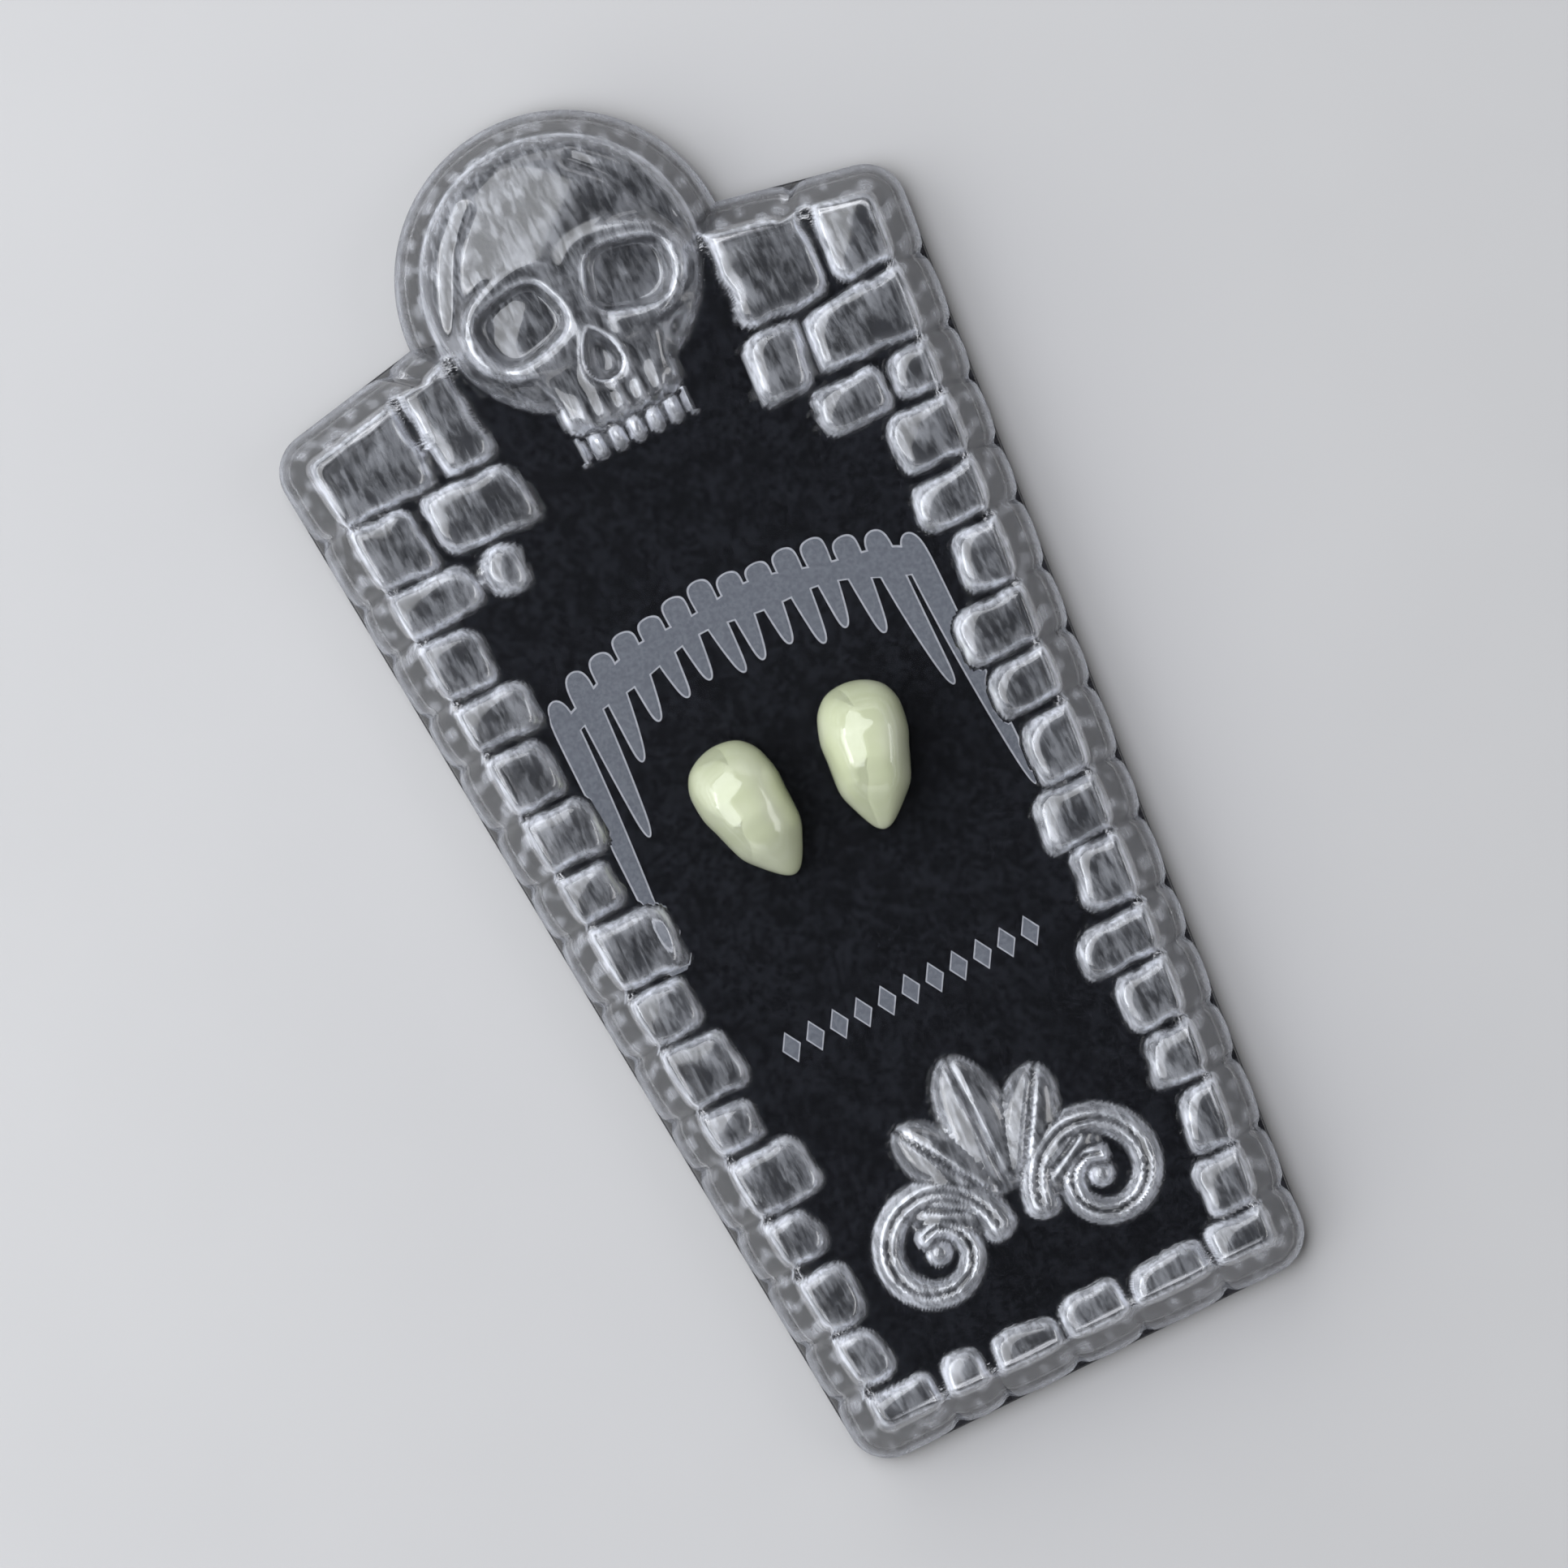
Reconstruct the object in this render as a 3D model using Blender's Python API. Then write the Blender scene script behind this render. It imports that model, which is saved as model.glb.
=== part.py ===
"""A pair of vampire fang caps on a black card, in a clear coffin-shaped display case.

The case lies on its back: +X is its right, +Y runs from the foot to the head, +Z comes up
through the window. The origin is under the middle of the case, on the surface it lies on.
All lengths are metres.
"""

import math

import bmesh
import bpy

MM = 0.001

# The case's plan, at the foot of the cover's drafted wall
HEAD_WIDTH = 65.6 * MM
FOOT_WIDTH = 46.6 * MM
SHOULDER_REACH = 110.6 * MM
GABLE_SLOPE = 0.20
DOME_RADIUS = 16.0 * MM
DOME_SINK = 3.5 * MM
CORNER_RADIUS = 3.8 * MM
INNER_CORNER_RADIUS = 1.0 * MM

# Heights of the case
BASE_THICKNESS = 1.6 * MM
LIP_HEIGHT = 0.9 * MM
LIP_WALL = 1.2 * MM
STONE_HEIGHT = 3.6 * MM
SKULL_HEIGHT = 5.4 * MM
COVER_WALL = 1.8 * MM
DRAFT_RATIO = 0.24
CARD_THICKNESS = 0.5 * MM

# Clearances
SEAT_GAP = 0.3 * MM
FIT_GAP = 0.3 * MM
FANG_HEADROOM = 1.0 * MM

# The cast masonry of the border
STONE_WIDTH = 7.0 * MM
JOINT_WIDTH = 0.8 * MM
STONE_BEVEL = 0.8 * MM
STONE_FLANK = 0.45 * MM
STONE_MARGIN = 0.15 * MM
FOOT_ROW = 4.6 * MM
GROOVE_DEPTH = 0.55 * MM
EDGE_CHAMFER = 0.4 * MM

# The cast skull at the head
SKULL_MARGIN = 0.2 * MM
FACE_HEIGHT = 3.9 * MM
FACE_BEVEL = 1.1 * MM
SOCKET_DEPTH = 3.0 * MM
TOOTH_WIDTH = 1.6 * MM
TOOTH_LENGTH = 3.0 * MM
TOOTH_GAP = 0.35 * MM
TOOTH_COUNT = 6

# The pair of scrolls and the leaf between them at the foot
SCROLL_RADIUS = 6.2 * MM
SCROLL_EYE_RADIUS = 1.9 * MM
SCROLL_TURNS = 1.30
SCROLL_BAND = 1.9 * MM
SCROLL_HEIGHT = 3.0 * MM
SCROLL_GAP = 0.7 * MM
SCROLL_TAPER = 0.35
LEAF_LENGTH = 14.5 * MM
LEAF_WIDTH = 6.6 * MM
LEAF_HEIGHT = 3.0 * MM

# The fang caps
FANG_LENGTH = 14.3 * MM
FANG_WIDTH = 8.5 * MM
FANG_HEIGHT = 6.6 * MM
FANG_WALL = 0.8 * MM
FANG_TIP = 2.9 * MM
FANG_GAP = 3.7 * MM
FANG_REACH = 60.8 * MM
LEFT_FANG_TURN = math.radians(9.5)
RIGHT_FANG_TURN = math.radians(-13.5)
CREST_SKEW = 0.12
SECTION_POWER = 2.5

# Steps of the round stretches
CORNER_STEPS = 4
DOME_STEPS = 9
SKULL_SIDES = 28
DOME_RINGS = 5
LEAF_SIDES = 10
SCROLL_STEPS = 26
FANG_STATIONS = 20
FANG_SIDES = 14
HOLLOW_STATIONS = 12
HOLLOW_SIDES = 10
SHADE_ANGLE = math.radians(35)
DOME_TOP_ANGLE = math.radians(84)
END_STEP = 0.35

# How deep a cast piece is rooted in the window, and how far a cutter overruns
ROOT_DEPTH = 0.7 * MM
OVERCUT = 0.5 * MM

# Courses of stones from the foot to the shoulder. Rise is a share of the flank, and the
# widths, from the wall inward, are shares of STONE_WIDTH. The last course fills the gable
# between the flank and the dome, so its widths are shares of that stretch.
COURSES = (
    # rise, left widths, right widths
    (0.95, (0.72,), (0.84,)),
    (1.10, (0.80,), (0.72,)),
    (0.90, (0.76,), (0.88,)),
    (1.05, (1.12,), (0.94,)),
    (0.85, (0.84,), (1.18,)),
    (1.10, (1.04,), (0.88,)),
    (0.95, (0.90,), (1.08,)),
    (1.15, (1.18,), (0.84,)),
    (0.90, (0.84,), (1.04,)),
    (1.00, (1.06,), (1.18,)),
    (1.10, (0.90,), (0.86,)),
    (0.90, (1.14,), (1.06,)),
    (1.05, (0.94,), (1.10,)),
    (0.85, (1.30, 0.65), (0.75, 1.10)),
    (1.15, (1.00, 1.50), (1.60, 0.90)),
    (1.10, (1.90, 1.10), (1.20, 1.75)),
)

# Stones along the foot edge, left to right, as shares of its width
FOOT_STONES = (1.2, 0.9, 1.3, 1.2, 1.5, 1.1)

# Half section of a scroll's band, across and up, as shares of its half width and height
BAND_SECTION = ((-1, 0), (-0.7, 0.75), (0, 1), (0.7, 0.75), (1, 0))

# Right half of the skull's face below the brow, as shares of SKULL_SIZE from its middle
FACE_OUTLINE = (
    # across, along
    (0.00, 0.10),
    (0.62, 0.02),
    (0.86, -0.20),
    (0.82, -0.46),
    (0.58, -0.64),
    (0.48, -0.80),
    (0.44, -1.14),
    (0.00, -1.20),
)

# Hollows of the skull, as shares of SKULL_SIZE
SKULL_HOLLOWS = (
    # across, along, half width, half length, turn in degrees
    (-0.41, -0.19, 0.30, 0.25, 12.0),
    (0.41, -0.19, 0.30, 0.25, -12.0),
    (0.00, -0.62, 0.12, 0.20, 0.0),
)
NOSE_DEPTH_SHARE = 0.75

# The fan of the leaf: turn from the centre line, length and width as shares
LEAF_FAN = (
    # turn in degrees, length, width
    (-62.0, 0.66, 0.90),
    (-31.0, 0.86, 1.00),
    (0.0, 1.00, 1.10),
    (31.0, 0.86, 1.00),
    (62.0, 0.66, 0.90),
)

# Form of a fang from its gum end to its tip
FANG_PROFILE = (
    # share of the length, share of the half width, share of the crest's height
    (0.00, 0.00, 0.00),
    (0.08, 0.73, 0.58),
    (0.22, 0.96, 0.88),
    (0.36, 1.00, 1.00),
    (0.50, 0.93, 1.00),
    (0.64, 0.86, 0.90),
    (0.71, 0.81, 0.82),
    (0.85, 0.54, 0.56),
    (0.92, 0.37, 0.40),
    (1.00, 0.00, 0.06),
)

# Levels and lines that follow from the sizes
GABLE_RISE = GABLE_SLOPE * HEAD_WIDTH / 2
CASE_LENGTH = SHOULDER_REACH + GABLE_RISE - DOME_SINK + DOME_RADIUS
FOOT_Y = -CASE_LENGTH / 2
DOME_Y = CASE_LENGTH / 2 - DOME_RADIUS
SHOULDER_Y = FOOT_Y + SHOULDER_REACH
FLANK_SLOPE = (HEAD_WIDTH - FOOT_WIDTH) / 2 / SHOULDER_REACH
COVER_FOOT = BASE_THICKNESS + SEAT_GAP
LIP_TOP = BASE_THICKNESS + LIP_HEIGHT
CARD_FOOT = LIP_TOP + SEAT_GAP
CARD_TOP = CARD_FOOT + CARD_THICKNESS
FANG_FOOT = CARD_TOP + SEAT_GAP
CEILING = FANG_FOOT + FANG_HEIGHT + FANG_HEADROOM
WINDOW_HEIGHT = CEILING + COVER_WALL
STONE_TOP = WINDOW_HEIGHT + STONE_HEIGHT
RIDGE_INSET = DRAFT_RATIO * (WINDOW_HEIGHT - COVER_FOOT)
FOOT_ROW_TOP = FOOT_Y + RIDGE_INSET + FOOT_ROW
SKULL_SIZE = DOME_RADIUS - RIDGE_INSET - SKULL_MARGIN
SCROLL_X = SCROLL_RADIUS + SCROLL_BAND + SCROLL_GAP / 2
SCROLL_Y = FOOT_ROW_TOP + SCROLL_GAP + SCROLL_RADIUS + SCROLL_BAND
HOLLOW_LENGTH = FANG_LENGTH - FANG_WALL - FANG_TIP


def clear_scene():
    """Take out whatever the scene holds."""
    for old in list(bpy.data.objects):
        bpy.data.objects.remove(old, do_unlink=True)


def plastic(name, colour, roughness, alpha=1.0):
    """A Principled material with the piece's colour."""
    material = bpy.data.materials.new(name)
    material.use_nodes = True
    shader = material.node_tree.nodes["Principled BSDF"]
    shader.inputs["Base Color"].default_value = (*colour, 1.0)
    shader.inputs["Roughness"].default_value = roughness
    shader.inputs["Metallic"].default_value = 0.0
    shader.inputs["Alpha"].default_value = alpha
    return material


def finish(name, mesh_builder, material=None):
    """Turn a bmesh into a named object with its faces outward."""
    bmesh.ops.recalc_face_normals(mesh_builder, faces=mesh_builder.faces)
    mesh = bpy.data.meshes.new(name)
    mesh_builder.to_mesh(mesh)
    mesh_builder.free()
    shape = bpy.data.objects.new(name, mesh)
    bpy.context.scene.collection.objects.link(shape)
    if material:
        mesh.materials.append(material)
        mesh.shade_smooth()
        mesh.set_sharp_from_angle(angle=SHADE_ANGLE)
    return shape


def add_rings(builder, rings):
    """Skin closed rings of equal count one after the other, and cap the first and the last."""
    rows = [[builder.verts.new(point) for point in ring] for ring in rings]
    for lower, upper in zip(rows, rows[1:]):
        for i in range(len(lower)):
            j = (i + 1) % len(lower)
            builder.faces.new((lower[i], lower[j], upper[j], upper[i]))
    builder.faces.new(rows[0][::-1])
    builder.faces.new(rows[-1])
    return rows


def draft_inset(z):
    """How far the cover's drafted wall has leaned in at height z."""
    return DRAFT_RATIO * (z - COVER_FOOT)


def flank_x(y, inset):
    """Half width of the case between its straight flanks."""
    return FOOT_WIDTH / 2 + FLANK_SLOPE * (y - FOOT_Y) - inset * math.hypot(1, FLANK_SLOPE)


def gable_y(x, inset):
    """Height of the shallow gable at a distance from the centre line."""
    return SHOULDER_Y + GABLE_SLOPE * (HEAD_WIDTH / 2 - x) - inset * math.hypot(1, GABLE_SLOPE)


def course_lines():
    """Heights of the joints between the courses, from the foot row to the shoulder."""
    total = sum(rise for rise, _, _ in COURSES)
    lines = [FOOT_ROW_TOP]
    for rise, _, _ in COURSES:
        lines.append(lines[-1] + (SHOULDER_Y - RIDGE_INSET - FOOT_ROW_TOP) * rise / total)
    return lines


def foot_lines():
    """Places of the joints along the foot edge, as shares of its half width."""
    total = sum(FOOT_STONES)
    lines = [-1.0]
    for width in FOOT_STONES:
        lines.append(lines[-1] + 2 * width / total)
    return lines


def valley(inset):
    """Where the gable's line meets the dome's circle."""
    radius = DOME_RADIUS - inset
    rise = gable_y(0, inset) - DOME_Y
    square = 1 + GABLE_SLOPE ** 2
    root = math.sqrt((GABLE_SLOPE * rise) ** 2 - square * (rise ** 2 - radius ** 2))
    x = (GABLE_SLOPE * rise + root) / square
    return x, gable_y(x, inset)


def stone_widths(row, side):
    """Widths of a course's stones on one side, from the wall inward."""
    shares = COURSES[row][1] if side < 0 else COURSES[row][2]
    if row < len(COURSES) - 1:
        return [share * STONE_WIDTH for share in shares]
    stretch = flank_x(SHOULDER_Y, RIDGE_INSET) - valley(RIDGE_INSET)[0]
    return [share * stretch / sum(shares) for share in shares]


def gable_joint(side):
    """Distance from the centre line of the joint between the stones under the gable."""
    return flank_x(SHOULDER_Y, RIDGE_INSET) - stone_widths(len(COURSES) - 1, side)[0]


def corner_arc(before, corner, after, radius):
    """Points of the arc that rounds a corner."""
    arms = []
    for end in (before, after):
        run = (end[0] - corner[0], end[1] - corner[1])
        length = math.hypot(*run)
        arms.append((run[0] / length, run[1] / length))
    half_angle = math.acos(arms[0][0] * arms[1][0] + arms[0][1] * arms[1][1]) / 2
    reach = radius / math.tan(half_angle)
    middle = [corner[i] + (arms[0][i] + arms[1][i]) * radius / math.sin(2 * half_angle) for i in (0, 1)]
    start, end = ([corner[i] + arm[i] * reach for i in (0, 1)] for arm in arms)
    first = math.atan2(start[1] - middle[1], start[0] - middle[0])
    last = math.atan2(end[1] - middle[1], end[0] - middle[0])
    sweep = (last - first + math.pi) % (2 * math.pi) - math.pi
    angles = [first + sweep * k / CORNER_STEPS for k in range(CORNER_STEPS + 1)]
    return [(middle[0] + radius * math.cos(a), middle[1] + radius * math.sin(a)) for a in angles]


def grooved(place, along, inward, depth):
    """Three points of a groove across a straight edge."""
    half = JOINT_WIDTH / 2
    return [
        (place[0] - along[0] * half, place[1] - along[1] * half),
        (place[0] + inward[0] * depth, place[1] + inward[1] * depth),
        (place[0] + along[0] * half, place[1] + along[1] * half),
    ]


def half_outline(side, inset, groove):
    """One side of the case's plan, from the middle of the foot to the top of the dome."""
    foot_y = FOOT_Y + inset
    foot_corner = (flank_x(foot_y, inset), foot_y)
    level = gable_y(flank_x(0, inset), inset) / (1 + FLANK_SLOPE * GABLE_SLOPE)
    shoulder = (flank_x(level, inset), level)
    dome_foot = valley(inset)
    radius = DOME_RADIUS - inset
    corner_radius = max(CORNER_RADIUS - inset, INNER_CORNER_RADIUS)
    points = [(0.0, foot_y)]
    for share in sorted(side * line for line in foot_lines()[1:-1]):
        if share > 0:
            place = (share * flank_x(FOOT_Y, RIDGE_INSET), foot_y)
            points += grooved(place, (1, 0), (0, 1), groove)
    points += corner_arc(points[-1], foot_corner, shoulder, corner_radius)
    for y in course_lines()[:-1]:
        points += grooved((flank_x(y, inset), y), (FLANK_SLOPE, 1), (-1, 0), groove)
    points += corner_arc(foot_corner, shoulder, dome_foot, corner_radius)
    joint = gable_joint(side)
    points += grooved((joint, gable_y(joint, inset)), (-1, GABLE_SLOPE), (0, -1), groove)
    start = math.atan2(dome_foot[1] - DOME_Y, dome_foot[0])
    for k in range(DOME_STEPS + 1):
        angle = start + (math.pi / 2 - start) * k / DOME_STEPS
        points.append((radius * math.cos(angle), DOME_Y + radius * math.sin(angle)))
    return [(side * x, y) for x, y in points]


def case_ring(z, inset, groove=0.0):
    """The whole plan at a height, anticlockwise."""
    right = half_outline(1, inset, groove)
    left = half_outline(-1, inset, groove)
    return [(x, y, z) for x, y in right + left[-2:0:-1]]


def wall_ring(z, depth, groove=0.0):
    """The plan at a height, that far inside the cover's drafted wall."""
    return case_ring(z, draft_inset(z) + depth, groove)


def build_base(material):
    """Flat back with a low lip that the cover fits round."""
    builder = bmesh.new()
    lip_outside = COVER_WALL + FIT_GAP
    lip_inside = lip_outside + LIP_WALL
    add_rings(builder, [
        case_ring(0.0, EDGE_CHAMFER),
        case_ring(EDGE_CHAMFER, 0.0),
        case_ring(BASE_THICKNESS, 0.0),
        wall_ring(BASE_THICKNESS, lip_outside),
        wall_ring(LIP_TOP, lip_outside),
        wall_ring(LIP_TOP, lip_inside),
        wall_ring(BASE_THICKNESS, lip_inside),
    ])
    return finish("case_base", builder, material)


def build_card(material):
    """Thin card that lies on the lip, just inside the cover's wall."""
    builder = bmesh.new()
    inside_cover = COVER_WALL + FIT_GAP
    add_rings(builder, [
        wall_ring(CARD_FOOT, inside_cover),
        wall_ring(CARD_TOP, inside_cover),
    ])
    return finish("insert_card", builder, material)


def add_stone(builder, corners):
    """A rounded block on the window, from its footprint's corners in order."""
    middle = [sum(c[i] for c in corners) / len(corners) for i in (0, 1)]
    top = []
    for corner in corners:
        run = [middle[i] - corner[i] for i in (0, 1)]
        share = STONE_FLANK / math.hypot(*run)
        top.append((corner[0] + run[0] * share, corner[1] + run[1] * share, STONE_TOP))
    foot = [(x, y, WINDOW_HEIGHT - ROOT_DEPTH) for x, y in corners]
    rows = add_rings(builder, [foot, top])
    upper = set(rows[1])
    edges = {edge for vert in upper for edge in vert.link_edges}
    bmesh.ops.bevel(builder, geom=list(edges), offset=STONE_BEVEL, offset_type="OFFSET",
                    segments=2, profile=0.5, affect="EDGES", clamp_overlap=True)


def build_stones():
    """All the masonry of the border: side courses, head courses and the foot row."""
    builder = bmesh.new()
    half_joint = JOINT_WIDTH / 2
    margin = RIDGE_INSET + STONE_MARGIN
    lines = course_lines()
    for row in range(len(COURSES)):
        low = lines[row] + half_joint
        high = lines[row + 1] - half_joint
        under_gable = row == len(COURSES) - 1
        for side in (-1, 1):
            spent = 0.0
            for width in stone_widths(row, side):
                after = spent + width
                outer = spent + (half_joint if spent else 0.0)
                corners = []
                for depth, y in ((outer, low), (after - half_joint, low),
                                 (after - half_joint, high), (outer, high)):
                    x = flank_x(y, margin) - depth
                    if under_gable and y == high:
                        y = gable_y(x, margin)
                    corners.append((side * x, y))
                add_stone(builder, corners)
                spent = after

    shares = foot_lines()
    low = FOOT_Y + margin
    high = FOOT_ROW_TOP - half_joint
    last = len(FOOT_STONES)
    for k in range(last):
        corners = []
        for joint, y, sign in ((k, low, 1), (k + 1, low, -1), (k + 1, high, -1), (k, high, 1)):
            if joint in (0, last):
                corners.append((sign * -flank_x(y, margin), y))
            else:
                corners.append((shares[joint] * flank_x(FOOT_Y, RIDGE_INSET) + sign * half_joint, y))
        add_stone(builder, corners)
    return finish("cast_stones", builder)


def add_dome(builder, middle, half_sizes, foot, top, turn=0.0, sides=SKULL_SIDES):
    """An elliptic dome from foot to top, or a bowl where top is below foot."""
    root = foot - math.copysign(ROOT_DEPTH, top - foot)
    rings = []
    for k in range(-1, DOME_RINGS):
        lift = DOME_TOP_ANGLE * max(k, 0) / (DOME_RINGS - 1)
        z = root if k < 0 else foot + (top - foot) * math.sin(lift)
        ring = []
        for i in range(sides):
            angle = 2 * math.pi * i / sides
            x = half_sizes[0] * math.cos(lift) * math.cos(angle)
            y = half_sizes[1] * math.cos(lift) * math.sin(angle)
            ring.append((
                middle[0] + x * math.cos(turn) - y * math.sin(turn),
                middle[1] + x * math.sin(turn) + y * math.cos(turn),
                z,
            ))
        rings.append(ring)
    add_rings(builder, rings)


def build_skull_parts():
    """Braincase, face and teeth of the cast skull, which the cover takes in one by one."""
    builder = bmesh.new()
    add_dome(builder, (0, DOME_Y), (SKULL_SIZE, SKULL_SIZE), WINDOW_HEIGHT, WINDOW_HEIGHT + SKULL_HEIGHT)
    braincase = finish("cast_braincase", builder)

    builder = bmesh.new()
    right = [(x * SKULL_SIZE, DOME_Y + y * SKULL_SIZE) for x, y in FACE_OUTLINE]
    outline = right + [(-x, y) for x, y in right[-2:0:-1]]
    foot = WINDOW_HEIGHT - ROOT_DEPTH
    rows = add_rings(builder, [
        [(x, y, foot) for x, y in outline],
        [(x, y, WINDOW_HEIGHT + FACE_HEIGHT) for x, y in outline],
    ])
    rim = {edge for edge in builder.edges if edge.verts[0] in rows[1] and edge.verts[1] in rows[1]}
    bmesh.ops.bevel(builder, geom=list(rim), offset=FACE_BEVEL, segments=2, profile=0.5,
                    affect="EDGES", clamp_overlap=True)
    face = finish("cast_face", builder)

    builder = bmesh.new()
    gum = DOME_Y + FACE_OUTLINE[-1][1] * SKULL_SIZE
    for k in range(TOOTH_COUNT):
        x = (k - (TOOTH_COUNT - 1) / 2) * (TOOTH_WIDTH + TOOTH_GAP)
        add_dome(builder, (x, gum), (TOOTH_WIDTH / 2, TOOTH_LENGTH / 2), WINDOW_HEIGHT,
                 WINDOW_HEIGHT + FACE_HEIGHT, sides=LEAF_SIDES)
    teeth = finish("cast_teeth", builder)
    return [braincase, face, teeth]


def build_skull_hollows():
    """Cutters for the eye sockets and the nose."""
    builder = bmesh.new()
    for across, along, half_width, half_length, turn in SKULL_HOLLOWS:
        middle = (across * SKULL_SIZE, DOME_Y + along * SKULL_SIZE)
        sizes = (half_width * SKULL_SIZE, half_length * SKULL_SIZE)
        mouth = WINDOW_HEIGHT + SKULL_HEIGHT
        depth = SKULL_HEIGHT - FACE_HEIGHT + SOCKET_DEPTH * (1 if across else NOSE_DEPTH_SHARE)
        add_dome(builder, middle, sizes, mouth, mouth - depth, math.radians(turn), LEAF_SIDES * 2)
    return finish("skull_hollows", builder)


def build_scroll(side):
    """A half-round band coiled into a scroll."""
    builder = bmesh.new()
    rings = []
    for k in range(SCROLL_STEPS + 1):
        share = k / SCROLL_STEPS
        angle = math.pi - 2 * math.pi * SCROLL_TURNS * share
        radius = SCROLL_RADIUS + (SCROLL_EYE_RADIUS - SCROLL_RADIUS) * share
        band = SCROLL_BAND * (1 - SCROLL_TAPER * share)
        section = [(across * band, up * SCROLL_HEIGHT) for across, up in BAND_SECTION]
        section = [(-band, -ROOT_DEPTH), *section, (band, -ROOT_DEPTH)]
        rings.append([
            (side * (SCROLL_X + (radius + across) * math.cos(angle)),
             SCROLL_Y + (radius + across) * math.sin(angle),
             WINDOW_HEIGHT + up)
            for across, up in section
        ])
    add_rings(builder, rings)
    return finish("cast_scroll", builder)


def build_leaf():
    """Lobes of the leaf that fans out between the scrolls."""
    lobes = []
    for turn, length, width in LEAF_FAN:
        builder = bmesh.new()
        angle = math.radians(turn)
        half = length * LEAF_LENGTH / 2
        reach = half + SCROLL_BAND
        middle = (reach * math.sin(angle), SCROLL_Y + reach * math.cos(angle))
        sizes = (width * LEAF_WIDTH / 2, half)
        add_dome(builder, middle, sizes, WINDOW_HEIGHT, WINDOW_HEIGHT + LEAF_HEIGHT, -angle, LEAF_SIDES)
        lobes.append(finish("cast_lobe", builder))
    return lobes


def hide_tool(tool):
    """Keep a helper shape out of the finished object."""
    tool.hide_render = True
    tool.display_type = "WIRE"


def combine(target, tools, operation):
    """Join the tools to the target, or cut them from it."""
    for tool in tools:
        hide_tool(tool)
        modifier = target.modifiers.new(tool.name, "BOOLEAN")
        modifier.operation = operation
        modifier.solver = "EXACT"
        modifier.object = tool


def build_cover(material):
    """Clear shell with the window, and the masonry, skull and scrolls cast on it."""
    builder = bmesh.new()
    add_rings(builder, [
        wall_ring(CEILING, COVER_WALL),
        wall_ring(COVER_FOOT, COVER_WALL),
        wall_ring(COVER_FOOT, 0.0, GROOVE_DEPTH),
        wall_ring(WINDOW_HEIGHT, 0.0, GROOVE_DEPTH),
    ])
    cover = finish("case_cover", builder, material)
    raised = [build_stones(), *build_skull_parts(), build_scroll(-1), build_scroll(1), *build_leaf()]
    combine(cover, raised, "UNION")
    combine(cover, [build_skull_hollows()], "DIFFERENCE")
    return cover


def fang_profile(share):
    """Half width and crest height of a fang at a share of its length, smooth at both ends."""
    turn = math.acos(1 - 2 * share)
    rows = [(math.acos(1 - 2 * along), width, crest) for along, width, crest in FANG_PROFILE]
    for before, after in zip(rows, rows[1:]):
        if turn <= after[0]:
            blend = (turn - before[0]) / (after[0] - before[0])
            return [before[i] + (after[i] - before[i]) * blend for i in (1, 2)]
    return rows[-1][1:]


def fang_rings(sizes, stations, sides, side, skirt):
    """Cross sections of a fang's form, gum end first, open side at z = 0."""
    length, half_width, height = sizes
    rings = []
    for k in range(stations):
        share = (1 - math.cos(math.pi * (k + END_STEP) / (stations - 1 + 2 * END_STEP))) / 2
        width_share, crest_share = fang_profile(share)
        y = length * (0.5 - share)
        ring = [(-half_width * width_share, y, -skirt)] if skirt else []
        for i in range(sides + 1):
            across = -math.cos(math.pi * i / sides)
            skewed = (across - side * CREST_SKEW) / (1 - across * side * CREST_SKEW)
            rise = (1 - min(abs(skewed), 1) ** SECTION_POWER) ** (1 / SECTION_POWER)
            ring.append((half_width * width_share * across, y, height * crest_share * rise))
        if skirt:
            ring.append((half_width * width_share, y, -skirt))
        rings.append(ring)
    return rings


def build_fang(name, side, turn, material):
    """A hollow canine cap lying front up, open towards the card."""
    half_width = FANG_WIDTH / 2
    builder = bmesh.new()
    add_rings(builder, fang_rings((FANG_LENGTH, half_width, FANG_HEIGHT), FANG_STATIONS, FANG_SIDES, side, 0))
    fang = finish(name, builder, material)

    builder = bmesh.new()
    sizes = (HOLLOW_LENGTH, half_width - FANG_WALL, FANG_HEIGHT - FANG_WALL)
    rings = fang_rings(sizes, HOLLOW_STATIONS, HOLLOW_SIDES, side, OVERCUT)
    shift = (FANG_LENGTH - HOLLOW_LENGTH) / 2 - FANG_WALL
    add_rings(builder, [[(x, y + shift, z) for x, y, z in ring] for ring in rings])
    hollow = finish(name + "_hollow", builder)

    for shape in (fang, hollow):
        shape.location = (side * (FANG_WIDTH + FANG_GAP) / 2, FOOT_Y + FANG_REACH, FANG_FOOT)
        shape.rotation_euler = (0, 0, turn)
    combine(fang, [hollow], "DIFFERENCE")
    return fang


def main():
    clear_scene()
    clear = plastic("clear_plastic", (0.80, 0.82, 0.86), 0.05, 0.35)
    dark = plastic("black_plastic", (0.015, 0.015, 0.018), 0.25)
    black = plastic("black_card", (0.012, 0.013, 0.018), 0.75)
    enamel = plastic("glow_enamel", (0.70, 0.76, 0.47), 0.16)
    build_base(dark)
    build_cover(clear)
    build_card(black)
    build_fang("fang_left", -1, LEFT_FANG_TURN, enamel)
    build_fang("fang_right", 1, RIGHT_FANG_TURN, enamel)


main()
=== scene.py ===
# %% [markdown]
# # A pair of fang caps in a clear coffin-shaped case
#
# Two hollow tooth caps lie on a black card. Over them sits a moulded cover of clear plastic
# with a flat window, stones down both sides, a skull at the head and scrolls at the foot.
# Every piece is dressed here in the place where the imported model holds it, so the model is
# loaded first.

# %% Load the imported model
import math

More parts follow.
